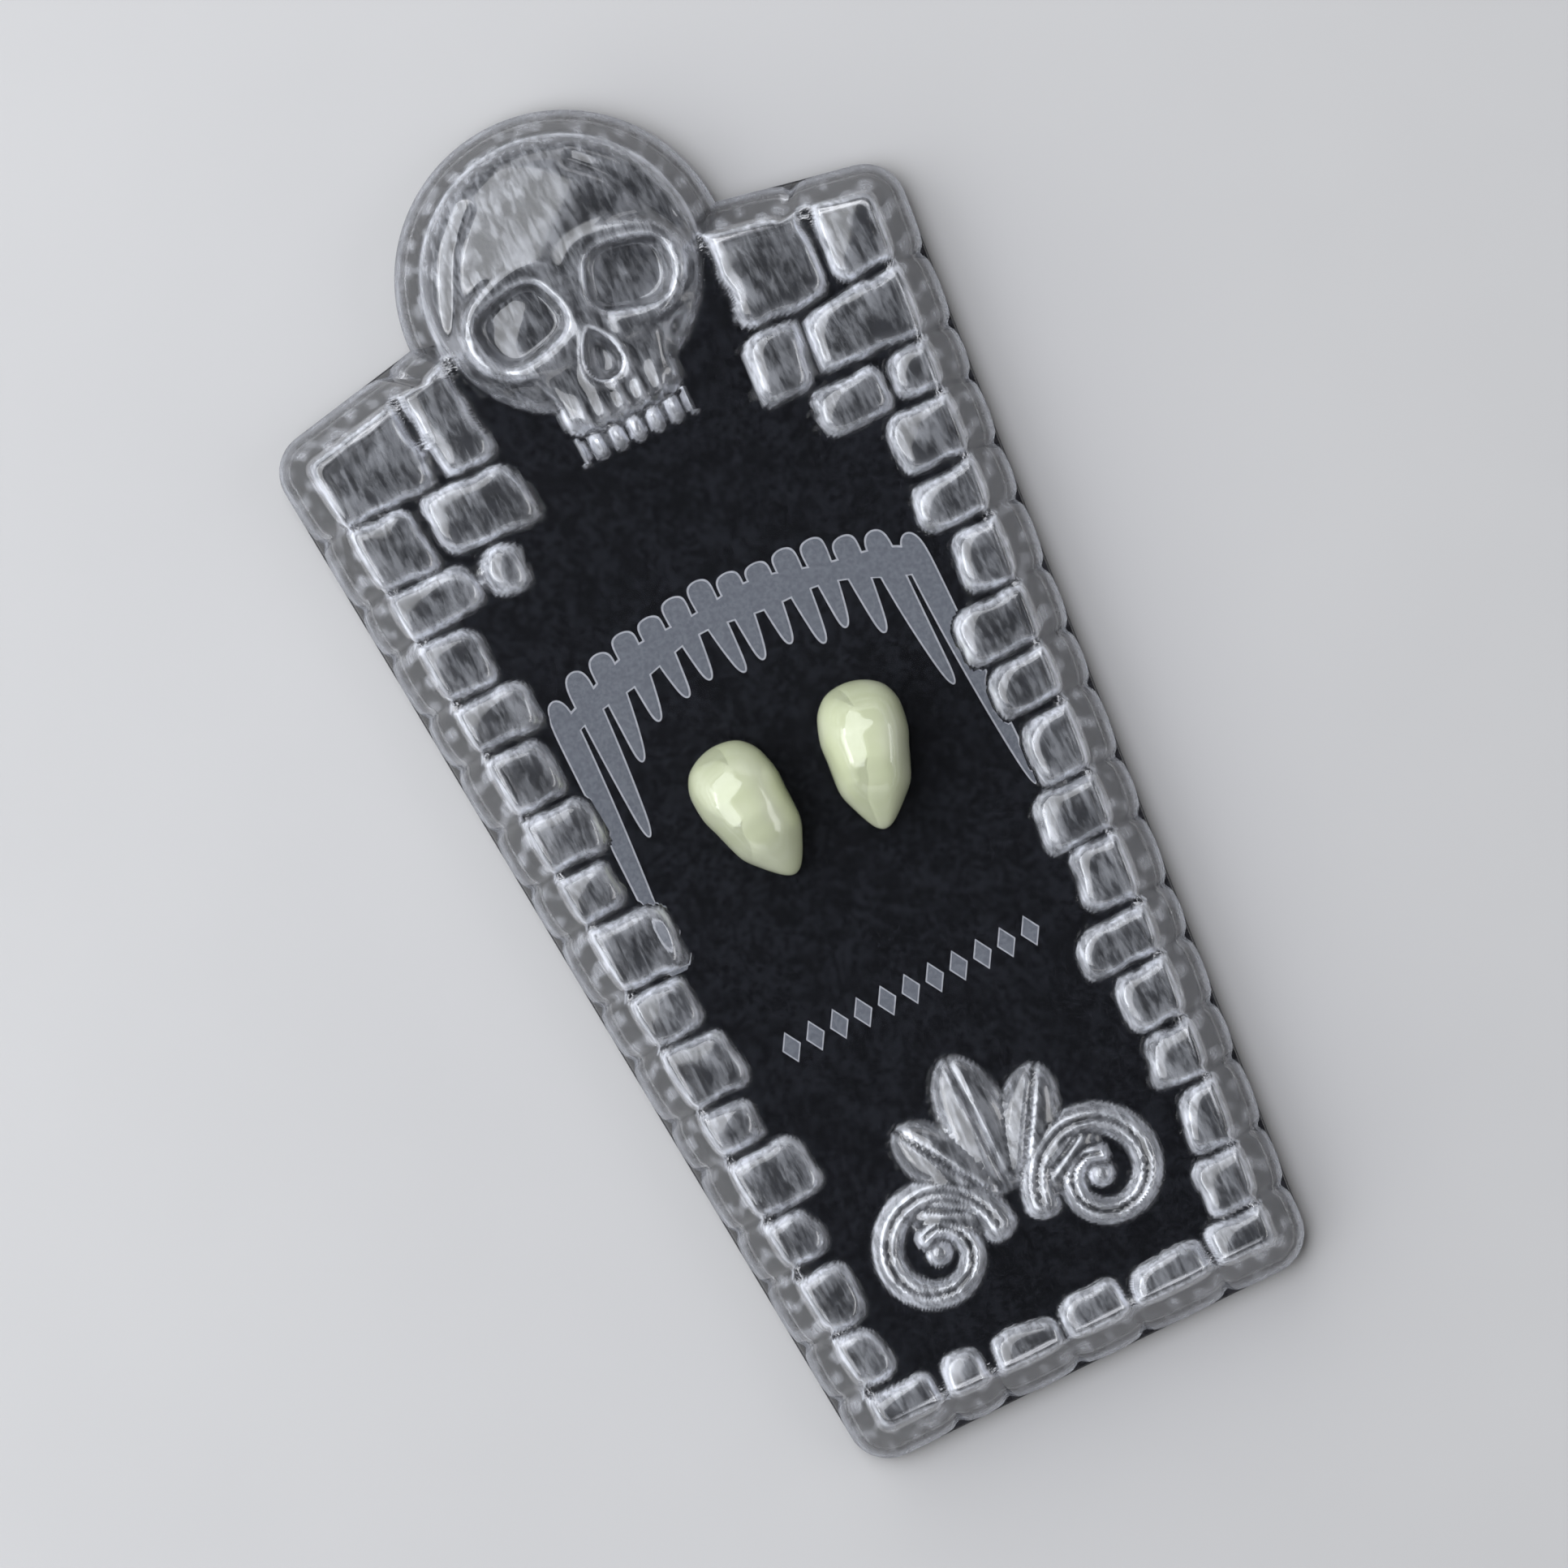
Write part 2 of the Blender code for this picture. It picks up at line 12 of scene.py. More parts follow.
import bmesh
import bpy
import numpy as np
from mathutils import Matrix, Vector


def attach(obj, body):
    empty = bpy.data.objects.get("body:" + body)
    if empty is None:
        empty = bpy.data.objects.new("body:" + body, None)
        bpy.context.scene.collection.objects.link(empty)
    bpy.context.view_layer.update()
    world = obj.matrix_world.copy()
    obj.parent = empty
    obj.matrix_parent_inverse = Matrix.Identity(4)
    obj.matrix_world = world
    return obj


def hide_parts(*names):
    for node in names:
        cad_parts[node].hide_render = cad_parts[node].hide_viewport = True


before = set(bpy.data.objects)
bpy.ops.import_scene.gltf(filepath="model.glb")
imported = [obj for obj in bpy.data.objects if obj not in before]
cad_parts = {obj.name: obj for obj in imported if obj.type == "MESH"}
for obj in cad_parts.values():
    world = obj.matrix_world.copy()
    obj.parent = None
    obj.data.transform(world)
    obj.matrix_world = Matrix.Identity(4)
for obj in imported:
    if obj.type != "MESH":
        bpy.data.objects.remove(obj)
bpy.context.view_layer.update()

print("nodes", sorted(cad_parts))

# %% [markdown]
# ## Sizes
#
# These are the lengths that the solid model was drawn with, in metres: +X is the case's
# right, +Y runs from the foot to the head, and +Z comes up through the window. The finer
# shapes below grow from the same numbers, so they cover the solids exactly.

# %% Sizes shared with the solid model
MM = 0.001

HEAD_WIDTH, FOOT_WIDTH = 65.6 * MM, 46.6 * MM
SHOULDER_REACH, GABLE_SLOPE = 110.6 * MM, 0.20
DOME_RADIUS, DOME_SINK = 16.0 * MM, 3.5 * MM
CORNER_RADIUS, INNER_CORNER_RADIUS = 4.0 * MM, 1.0 * MM

BASE_THICKNESS, LIP_HEIGHT, LIP_WALL = 1.6 * MM, 0.9 * MM, 1.2 * MM
STONE_HEIGHT, SKULL_HEIGHT = 3.6 * MM, 5.4 * MM
COVER_WALL, DRAFT_RATIO, CARD_THICKNESS = 1.8 * MM, 0.24, 0.5 * MM
SEAT_GAP, FIT_GAP, FANG_HEADROOM = 0.3 * MM, 0.3 * MM, 1.0 * MM
FANG_LENGTH, FANG_WIDTH, FANG_HEIGHT = 14.3 * MM, 8.5 * MM, 6.6 * MM
FANG_WALL, FANG_TIP, FANG_GAP, FANG_REACH = 0.8 * MM, 2.9 * MM, 3.7 * MM, 60.8 * MM

GABLE_RISE = GABLE_SLOPE * HEAD_WIDTH / 2
CASE_LENGTH = SHOULDER_REACH + GABLE_RISE - DOME_SINK + DOME_RADIUS
FOOT_Y = -CASE_LENGTH / 2
DOME_Y = CASE_LENGTH / 2 - DOME_RADIUS
SHOULDER_Y = FOOT_Y + SHOULDER_REACH
FLANK_SLOPE = (HEAD_WIDTH - FOOT_WIDTH) / 2 / SHOULDER_REACH
COVER_FOOT = BASE_THICKNESS + SEAT_GAP
LIP_TOP = BASE_THICKNESS + LIP_HEIGHT
CARD_TOP = LIP_TOP + SEAT_GAP + CARD_THICKNESS
FANG_FOOT = CARD_TOP + SEAT_GAP
CEILING = FANG_FOOT + FANG_HEIGHT + FANG_HEADROOM
WINDOW_HEIGHT = CEILING + COVER_WALL
RIDGE_INSET = DRAFT_RATIO * (WINDOW_HEIGHT - COVER_FOOT)
SKULL_SIZE = DOME_RADIUS - RIDGE_INSET - 0.2 * MM
print("window at", round(1000 * WINDOW_HEIGHT, 2), "mm, skull", round(1000 * SKULL_SIZE, 2), "mm")

# %% [markdown]
# ## Camera
#
# The picture looks straight down on the case, which leans to the left by 26 degrees. A long
# lens from far above keeps the walls from spreading.

# %% Camera
LEAN = math.radians(26.06)
PICTURE_UP = np.array((math.sin(LEAN), math.cos(LEAN), 0.0))
PICTURE_RIGHT = np.array((math.cos(LEAN), -math.sin(LEAN), 0.0))
FRAME_WIDTH, CAMERA_HEIGHT = 148.0 * MM, 1.6
camera_data = bpy.data.cameras.new("camera")
camera_data.sensor_width = 36.0
camera_data.lens = 36.0 * CAMERA_HEIGHT / FRAME_WIDTH
camera_data.clip_start, camera_data.clip_end = 0.05, 20.0
camera = bpy.data.objects.new("camera", camera_data)
bpy.context.scene.collection.objects.link(camera)
aim = -0.7 * MM * PICTURE_RIGHT - 3.7 * MM * PICTURE_UP
camera.location = (aim[0], aim[1], CAMERA_HEIGHT)
camera.rotation_euler = (0, 0, -LEAN)
bpy.context.scene.camera = camera
print("lens", round(camera_data.lens), "mm")

# %% [markdown]
# ## A small language for finishes
#
# Shader graphs read best as sums. `Value` wraps a socket and lets Python's operators add the
# Math nodes. `Finish` is one material, and its `add` makes any other node: the settings come
# first, because they can change which sockets a node has.

# %% Helpers for finishes
class Value:
    """A node's output that can be added and multiplied."""

    def __init__(self, finish, socket):
        self.finish, self.socket = finish, socket

    def _math(self, operation, left, right):
        return self.finish.add("ShaderNodeMath", {"operation": operation}, {0: left, 1: right})

    def __add__(self, other): return self._math("ADD", self, other)
    def __radd__(self, other): return self._math("ADD", other, self)
    def __mul__(self, other): return self._math("MULTIPLY", self, other)
    def __rmul__(self, other): return self._math("MULTIPLY", other, self)


class Finish:
    """One material, built node by node."""

    def __init__(self, name):
        self.material = bpy.data.materials.new(name)
        self.material.use_nodes = True
        self.tree = self.material.node_tree
        self.tree.nodes.clear()

    def add(self, kind, settings=None, inputs=None, output=0):
        """Make a node, apply its settings, fill its sockets and hand back one output."""
        node = self.tree.nodes.new(kind)
        for name, value in (settings or {}).items():
            if name == "stops":
                while len(node.color_ramp.elements) < len(value):
                    node.color_ramp.elements.new(1.0)
                for stop, (place, colour) in zip(node.color_ramp.elements, value):
                    stop.position, stop.color = place, (*colour, 1.0)
            else:
                setattr(node, name, value)
        for name, value in (inputs or {}).items():
            if isinstance(value, Value):
                self.tree.links.new(value.socket, node.inputs[name])
            else:
                node.inputs[name].default_value = value
        return Value(self, node.outputs[output])

    def place(self):
        """The point's own place on the piece, in metres."""
        return self.add("ShaderNodeTexCoord", output="Object")

    def moved(self, vector, scale=(1, 1, 1), turn=0.0):
        """The place turned about the height and stretched, so that a pattern can run one way."""
        return self.add("ShaderNodeMapping", {}, {
            "Vector": vector, "Scale": scale, "Rotation": (0, 0, turn)})

    def noise(self, vector, scale, detail=3.0, roughness=0.5, distortion=0.0):
        """Cloudy noise from 0 to 1."""
        return self.add("ShaderNodeTexNoise", {}, {
            "Vector": vector, "Scale": scale, "Detail": detail,
            "Roughness": roughness, "Distortion": distortion})

    def span(self, value, low, high, to_low=0.0, to_high=1.0):
        """Stretch a stretch of values to another one, clamped and eased."""
        return self.add("ShaderNodeMapRange", {"interpolation_type": "SMOOTHSTEP"}, {
            "Value": value, "From Min": low, "From Max": high, "To Min": to_low, "To Max": to_high})

    def blend(self, share, first, second):
        """A mix of two colours."""
        inputs = {0: share, 6: (*first, 1.0), 7: (*second, 1.0)}
        return self.add("ShaderNodeMix", {"data_type": "RGBA"}, inputs, output=2)

    def bump(self, height, distance, strength=1.0):
        """A normal that follows a height from 0 to 1 over a distance in metres."""
        return self.add("ShaderNodeBump", {}, {
            "Height": height, "Distance": distance, "Strength": strength}, output="Normal")

    def principled(self, **inputs):
        """The shader; underscores in the names stand for spaces."""
        return self.add("ShaderNodeBsdfPrincipled", {}, {
            name.replace("_", " "): value for name, value in inputs.items()})

    def done(self, surface):
        """Send a shader to the output."""
        output = self.tree.nodes.new("ShaderNodeOutputMaterial")
        self.tree.links.new(surface.socket, output.inputs["Surface"])
        return self.material


print("helpers for finishes ready")

# %% [markdown]
# ## A small language for shapes
#
# Every new piece is a grid of points worked out as whole arrays. `make_piece` welds what
# falls together at seams and poles, points the faces outwards, and gives the piece to the
# body that carries it.

# %% Helpers for shapes
WELD = 1e-6
SHARP = math.radians(42)


def grid_faces(rows, columns, around=False, skip=None):
    """Quads between the points of a grid that is stored row by row."""
    last = columns if around else columns - 1
    row, column = np.meshgrid(np.arange(rows - 1), np.arange(last), indexing="ij")
    if skip is not None:
        keep = ~skip(row, column)
        row, column = row[keep], column[keep]
    row, column = row.ravel(), column.ravel()
    after = (column + 1) % columns
    return np.stack([row * columns + column, row * columns + after,
                     (row + 1) * columns + after, (row + 1) * columns + column], axis=1)


def make_piece(name, points, faces, finish, slot, replaces=(), sharp=SHARP, **point_values):
    """A welded mesh object from points (n, 3) and index lists, riding on the one body."""
    mesh = bpy.data.meshes.new(name)
    mesh.from_pydata(points.reshape(-1, 3).tolist(), [], [list(map(int, face)) for face in faces])
    for value_name, values in point_values.items():
        layer = mesh.attributes.new(value_name, "FLOAT", "POINT")
        layer.data.foreach_set("value", values.astype(np.float32))
    builder = bmesh.new()
    builder.from_mesh(mesh)
    bmesh.ops.remove_doubles(builder, verts=builder.verts, dist=WELD)
    bmesh.ops.dissolve_degenerate(builder, edges=builder.edges, dist=WELD)
    bmesh.ops.recalc_face_normals(builder, faces=builder.faces)
    open_edges = sum(1 for edge in builder.edges if not edge.is_manifold)
    builder.to_mesh(mesh)
    builder.free()
    mesh.shade_smooth()
    mesh.set_sharp_from_angle(angle=sharp)
    mesh.materials.append(finish)
    piece = bpy.data.objects.new(name, mesh)
    bpy.context.scene.collection.objects.link(piece)
    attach(piece, "root")
    if replaces:
        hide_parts(*replaces)
    triangles = sum(len(face.vertices) - 2 for face in mesh.polygons)
    print(name, triangles, "triangles,", open_edges, "open edges")
    return piece


def smooth_min(a, b, reach):
    """The lower of two heights, rounded over where they cross."""
    share = np.clip(0.5 + 0.5 * (b - a) / reach, 0, 1)
    return b * (1 - share) + a * share - reach * share * (1 - share)


def smooth_max(a, b, reach):
    """The higher of two heights, rounded over where they cross."""
    return -smooth_min(-a, -b, reach)


def ease(t):
    """An S curve from 0 to 1."""
    t = np.clip(t, 0, 1)
    return t * t * (3 - 2 * t)


def cubic_shares(t):
    """What a cubic piece takes of its first value and slope, and of its last value and slope."""
    return (2 * t ** 3 - 3 * t ** 2 + 1, t ** 3 - 2 * t ** 2 + t,
            3 * t ** 2 - 2 * t ** 3, t ** 3 - t ** 2)


def smooth_line(keys, values, at):
    """A curve through keyed values without overshoot: cubic pieces with limited slopes."""
    gaps, steps = np.diff(keys), np.diff(values)
    slopes = steps / gaps
    bends = np.zeros(len(keys))
    same = slopes[:-1] * slopes[1:] > 0
    bends[1:-1][same] = 2 / (1 / slopes[:-1][same] + 1 / slopes[1:][same])
    bends[0], bends[-1] = slopes[0], slopes[-1]
    k = np.clip(np.searchsorted(keys, at) - 1, 0, len(gaps) - 1)
    first, leave, last, arrive = cubic_shares((at - keys[k]) / gaps[k])
    return (first * values[k] + leave * gaps[k] * bends[k]
            + last * values[k + 1] + arrive * gaps[k] * bends[k + 1])


def rounded_path(keys, steps=8):
    """A curve through points of the plane: cubic pieces whose ends share a direction."""
    keys = np.array(keys, float)
    bend = (np.concatenate([keys[1:], keys[-1:]]) - np.concatenate([keys[:1], keys[:-1]])) / 2
    t = np.linspace(0, 1, steps, endpoint=False)[:, None, None]
    first, leave, last, arrive = cubic_shares(t)
    pieces = first * keys[:-1] + leave * bend[:-1] + last * keys[1:] + arrive * bend[1:]
    return np.concatenate([pieces.transpose(1, 0, 2).reshape(-1, 2), keys[-1:]])


def wobble(x, y, size, seed):
    """Soft unevenness from -1 to 1: six sine waves of about one length in chance directions."""
    chance = np.random.default_rng(seed)
    total = np.zeros(np.broadcast(x, y).shape)
    angles, stretches = chance.uniform(0, math.tau, 6), chance.uniform(0.7, 1.4, 6)
    for angle, stretch, phase in zip(angles, stretches, chance.uniform(0, math.tau, 6)):
        wave = math.tau / (size * stretch)
        total = total + np.sin(wave * (x * math.cos(angle) + y * math.sin(angle)) + phase)
    return total / 3.2


print("helpers for shapes ready")

# %% [markdown]
# ## The case's plan
#
# The real case is a coffin: straight flanks that widen to the shoulders, a shallow gable and
# a round dome at the head. The plan is one function of how far in from the edge a line runs.
# It gives the same number of points for every inset, so lines at several insets make a grid.

# %% The case's plan
FOOT_STEPS, CORNER_STEPS, FLANK_STEPS, GABLE_STEPS, DOME_STEPS = 60, 12, 350, 46, 76


def flank_x(y, inset):
    """Half width of the case between its flanks."""
    return FOOT_WIDTH / 2 + FLANK_SLOPE * (y - FOOT_Y) - inset * math.hypot(1, FLANK_SLOPE)


def gable_y(x, inset):
    """Height of the gable at a distance from the centre line."""
    return SHOULDER_Y + GABLE_SLOPE * (HEAD_WIDTH / 2 - x) - inset * math.hypot(1, GABLE_SLOPE)


def valley(inset):
    """Where the gable's line meets the dome's circle: the root of a square equation."""
    radius = DOME_RADIUS - inset
    rise = gable_y(0, inset) - DOME_Y
    square = 1 + GABLE_SLOPE ** 2
    root = np.sqrt((GABLE_SLOPE * rise) ** 2 - square * (rise ** 2 - radius ** 2))
    x = (GABLE_SLOPE * rise + root) / square
    return np.stack([x, gable_y(x, inset)], axis=-1)


def line(start, end, steps):
    """Points evenly along a straight line."""
    share = np.linspace(0, 1, steps + 1)[:, None, None]
    return start + (end - start) * share


def corner(tip, before, after, inset, steps):
    """An arc that touches both arms of a corner; its radius shrinks with the inset."""
    before, after = (np.array(arm) / math.hypot(*arm) for arm in (before, after))
    radius = np.maximum(CORNER_RADIUS - inset, INNER_CORNER_RADIUS)[:, None]
    opening = math.acos(before @ after)
    middle = tip + (before + after) * radius / math.sin(opening)
    first, last = (arm / math.tan(opening / 2) - (before + after) / math.sin(opening)
                   for arm in (before, after))
    start = math.atan2(first[1], first[0])
    sweep = (math.atan2(last[1], last[0]) - start + math.pi) % math.tau - math.pi
    angle = start + sweep * np.linspace(0, 1, steps + 1)[:, None, None]
    return middle + radius * np.concatenate([np.cos(angle), np.sin(angle)], axis=-1)


def half_plan(insets, thin=1):
    """The right half from the foot's middle to the dome's top: points (rows, insets, 2)."""
    inset = np.atleast_1d(np.asarray(insets, float))
    foot_y = FOOT_Y + inset
    foot_tip = np.stack([flank_x(foot_y, inset), foot_y], axis=-1)
    level = gable_y(flank_x(0, inset), inset) / (1 + FLANK_SLOPE * GABLE_SLOPE)
    shoulder_tip = np.stack([flank_x(level, inset), level], axis=-1)
    dip = valley(inset)
    low = corner(foot_tip, (-1, 0), (FLANK_SLOPE, 1), inset, CORNER_STEPS // thin)
    high = corner(shoulder_tip, (-FLANK_SLOPE, -1), (-1, GABLE_SLOPE), inset, CORNER_STEPS // thin)
    foot_middle = np.stack([0 * inset, foot_y], axis=-1)
    begin = np.arctan2(dip[:, 1] - DOME_Y, dip[:, 0])
    angle = begin + (math.pi / 2 - begin) * np.linspace(0, 1, DOME_STEPS // thin + 1)[:, None]
    ray = np.stack([np.cos(angle), np.sin(angle)], axis=-1)
    dome = ray * (DOME_RADIUS - inset)[:, None] + (0, DOME_Y)
    return np.concatenate([
        line(foot_middle, low[0], FOOT_STEPS // thin)[:-1], low[:-1],
        line(low[-1], high[0], FLANK_STEPS // thin)[:-1], high[:-1],
        line(high[-1], dip, GABLE_STEPS // thin)[:-1], dome])


edge = half_plan([0.0])[:, 0]
print("rows in half the plan", len(edge), "widest", round(2000 * edge[:, 0].max(), 2), "mm")

# %% [markdown]
# ## Stones
#
# The border looks like rough masonry, cast in one with the cover. Each stone is a cushion: its
# height follows how deep a point lies inside the stone's outline, steeply at first and then
# level, and two slanting planes cut its top. Its sides are shifted and turned by chance, so no
# two stones are alike. A side that lies on the case's wall is left open, because the wall
# itself cuts it.

# %% Where the stones lie
STONE_WIDTH, JOINT_WIDTH, FOOT_ROW, GROOVE_DEPTH = 7.0 * MM, 0.8 * MM, 4.6 * MM, 0.7 * MM
STONE_MARGIN = 0.15 * MM
FOOT_ROW_TOP = FOOT_Y + RIDGE_INSET + FOOT_ROW
COURSES = (
    # rise, left widths, right widths
    (0.95, (0.72,), (0.84,)),
    (1.10, (0.80,), (0.72,)),
    (0.90, (0.76,), (0.88,)),
    (1.05, (1.12,), (0.94,)),
    (0.85, (0.84,), (1.18,)),
    (1.10, (1.04,), (0.88,)),
    (0.95, (0.90,), (1.08,)),
    (1.15, (1.18,), (0.84,)),
    (0.90, (0.84,), (1.04,)),
    (1.00, (1.06,), (1.18,)),
    (1.10, (0.90,), (0.86,)),
    (0.90, (1.14,), (1.06,)),
    (1.05, (0.94,), (1.10,)),
    (0.85, (1.30, 0.65), (0.75, 1.10)),
    (1.15, (1.00, 1.50), (1.60, 0.90)),
    (1.10, (1.90, 1.10), (1.20, 1.75)),
)
FOOT_STONES = (1.2, 0.9, 1.3, 1.2, 1.5, 1.1)


def joint_lines():
    """Heights of the joints up the flank, and places of those along the foot."""
    rises = np.cumsum([0.0] + [rise for rise, _, _ in COURSES])
    courses = FOOT_ROW_TOP + (SHOULDER_Y - RIDGE_INSET - FOOT_ROW_TOP) * rises / rises[-1]
    widths = np.cumsum((0.0,) + FOOT_STONES)
    return courses, (2 * widths / widths[-1] - 1) * flank_x(FOOT_Y, RIDGE_INSET)


def stone_widths(row, side):
    """Widths of a course's stones on one side, from the wall inward."""
    shares = np.array(COURSES[row][1 if side < 0 else 2])
    if row < len(COURSES) - 1:
        return shares * STONE_WIDTH
    return shares / shares.sum() * (flank_x(SHOULDER_Y, RIDGE_INSET) - valley(RIDGE_INSET)[0])


COURSE_LINES, FOOT_LINES = joint_lines()
GABLE_JOINT = {side: flank_x(SHOULDER_Y, RIDGE_INSET) - stone_widths(len(COURSES) - 1, side)[0]
               for side in (-1, 1)}


def stones():
    """Each stone's corners in order, and which of its four sides the wall cuts."""
    found = []
    margin, half = RIDGE_INSET + STONE_MARGIN, JOINT_WIDTH / 2
    for row in range(len(COURSES)):
        low, high = COURSE_LINES[row] + half, COURSE_LINES[row + 1] - half
        for side in (-1, 1):
            spent = 0.0
            for width in stone_widths(row, side):
                outer, inner = spent + (half if spent else 0.0), spent + width - half
                around = ((outer, low), (inner, low), (inner, high), (outer, high))
                corners = [(side * (flank_x(y, margin) - depth), y) for depth, y in around]
                cut = (False, False, row == len(COURSES) - 1, not spent)
                found.append((np.array(corners), cut))
                spent += width
    low, high = FOOT_Y + margin, FOOT_ROW_TOP - half
    last = len(FOOT_STONES)
    for k in range(last):
        left = FOOT_LINES[k] + half if k else -flank_x(low, margin)
        right = FOOT_LINES[k + 1] - half if k < last - 1 else flank_x(low, margin)
        corners = [(left, low), (right, low), (right, high), (left, high)]
        found.append((np.array(corners), (True, k == last - 1, False, k == 0)))
    return found


STONES = stones()
print(len(STONES), "stones")

# %% Height of the stones
STONE_EDGE = np.array((0, 0.30, 0.65, 1.05, 1.60, 2.60, 3.80)) * MM
STONE_RISE = np.array((0, 0.50, 0.82, 0.94, 0.980, 0.996, 1.00))
STONE_CORNER, STONE_SHIFT, STONE_TURN = 2.0 * MM, 0.22 * MM, math.radians(4.0)
STONE_FACETS, FACET_CREASE = 2, 0.30 * MM


def cushion(depth, rim):
    """A rounded rise over the rim, then level."""
    share = np.clip(depth / rim, 0, 1)
    return (1 - (1 - share) ** 2.0) ** 0.62


def stone_sides(px, py, corners, cut, shift, turn):
    """Depth inside a stone whose corners are given about its middle, rounded at the corners."""
    depth = np.full(px.shape, 20 * MM)
    for k in range(4):
        if cut[k]:
            continue
        a, b = corners[k], corners[(k + 1) % 4]
        inward = np.array((a[1] - b[1], b[0] - a[0])) / math.hypot(*(b - a))
        inward *= -np.sign(inward @ a)
        c, s = math.cos(turn[k]), math.sin(turn[k])
        inward = np.array((inward[0] * c - inward[1] * s, inward[0] * s + inward[1] * c))
        away = (px - (a[0] + b[0]) / 2) * inward[0] + (py - (a[1] + b[1]) / 2) * inward[1]
        depth = smooth_min(depth, away + shift[k], STONE_CORNER)
    return depth


def stone_relief(x, y):
    """Height of the masonry above the window."""
    chance = np.random.default_rng(11)
    height = np.zeros_like(x)
    ragged = 0.16 * MM * wobble(x, y, 4.4 * MM, 5) + 0.36 * MM
    lumps = 0.10 * MM * wobble(x, y, 4.6 * MM, 23)
    for corners, cut in STONES:
        shift = chance.uniform(-1, 1, 4) * STONE_SHIFT
        turn = chance.uniform(-1, 1, 4) * STONE_TURN
        full = STONE_HEIGHT * chance.uniform(0.86, 1.0)
        facets = (chance.uniform(0, math.tau, STONE_FACETS),
                  chance.uniform(0.2, 1.8, STONE_FACETS) * MM,
                  chance.uniform(0.06, 0.16, STONE_FACETS))
        middle = corners.mean(axis=0)
        near = (abs(x - middle[0]) < 10 * MM) & (abs(y - middle[1]) < 8 * MM)
        px, py = x[near] - middle[0], y[near] - middle[1]
        depth = stone_sides(px, py, corners - middle, cut, shift, turn) + ragged[near]
        top = full + lumps[near]
        for angle, reach, slope in zip(*facets):
            plane = full - slope * (px * math.cos(angle) + py * math.sin(angle) - reach)
            top = smooth_min(top, np.maximum(plane, 0.45 * full), FACET_CREASE)
        rise = smooth_line(STONE_EDGE, STONE_RISE, np.clip(depth, 0, STONE_EDGE[-1]))
        height[near] = np.maximum(height[near], rise * top)
    return height


print("stones", round(1000 * STONE_HEIGHT, 1), "mm high")

# %% [markdown]
# ## Skull
#
# At the head the cover swells into a plain skull, seen from the front. It is a sum of simple
# forms: an ellipsoid for the braincase, a plate with rounded edges for the face, bands for the
# brows and cheekbones, bowls for the sockets and the nose, and small domes for the teeth.
# Rounded maximums join them as wax would.

# %% Height of the skull
FACE_HEIGHT, FACE_BEVEL, SOCKET_DEPTH = 3.9 * MM, 2.0 * MM, 2.5 * MM
TOOTH_WIDTH, TOOTH_LENGTH, TOOTH_GAP, TOOTH_COUNT = 1.6 * MM, 3.0 * MM, 0.35 * MM, 6
ROOT_RISE, ROOT_LENGTH, ROOT_HEIGHT = 3.1 * MM, 1.5 * MM, 0.45 * MM
BROW_HEIGHT, CHEEK_HEIGHT, BRIDGE_HEIGHT, TEMPLE_DEPTH = 1.00 * MM, 0.95 * MM, 0.80 * MM, 0.45 * MM
FACE_OUTLINE = rounded_path((
    (0.00, 0.14), (0.40, 0.10), (0.74, -0.04), (0.88, -0.24), (0.84, -0.42), (0.68, -0.54),
    (0.54, -0.68), (0.48, -0.84), (0.45, -1.02), (0.30, -1.13), (0.00, -1.15)))
BROW = rounded_path(((0.05, -0.03), (0.20, 0.08), (0.42, 0.11), (0.62, 0.04), (0.77, -0.13)))
CHEEK = rounded_path(((0.22, -0.52), (0.44, -0.52), (0.68, -0.41), (0.85, -0.22)))
TEMPLE = rounded_path(((0.84, 0.00), (0.74, 0.24), (0.60, 0.50), (0.40, 0.72)))
BRIDGE = np.array(((0.0, -0.08), (0.0, -0.42)))
# across, along, half width, half length, turn in degrees
SOCKETS = ((-0.42, -0.19, 0.33, 0.27, 14.0), (0.42, -0.19, 0.33, 0.27, -14.0))
NOSE_ALONG, NOSE_HALF_WIDTH, NOSE_HALF_LENGTH, NOSE_TAPER = -0.62, 0.12, 0.20, 0.42


def gap_to_segment(x, y, a, b):
    """Distance from points to the straight piece between a and b."""
    run = b - a
    share = ((x - a[0]) * run[0] + (y - a[1]) * run[1]) / max(run @ run, 1e-12)
    share = np.clip(share, 0, 1)
    return np.hypot(x - a[0] - share * run[0], y - a[1] - share * run[1])


def outline_depth(x, y, corners):
    """How deep a point lies inside a closed line; outside it is negative."""
    nearest = np.full(x.shape, 1.0)
    inside = np.zeros(x.shape, bool)
    for a, b in zip(corners, np.roll(corners, -1, axis=0)):
        run = b - a
        nearest = np.minimum(nearest, gap_to_segment(x, y, a, b))
        if run[1]:
            inside ^= ((y < a[1]) != (y < b[1])) & (x < a[0] + run[0] * (y - a[1]) / run[1])
    return np.where(inside, nearest, -nearest)


def band(x, y, path, width):
    """1 on a curve through the given points, falling off like a bell over the width."""
    nearest = np.full(x.shape, 1.0)
    for a, b in zip(path, path[1:]):
        nearest = np.minimum(nearest, gap_to_segment(x, y, a, b))
    return np.exp(-(nearest / width) ** 2)


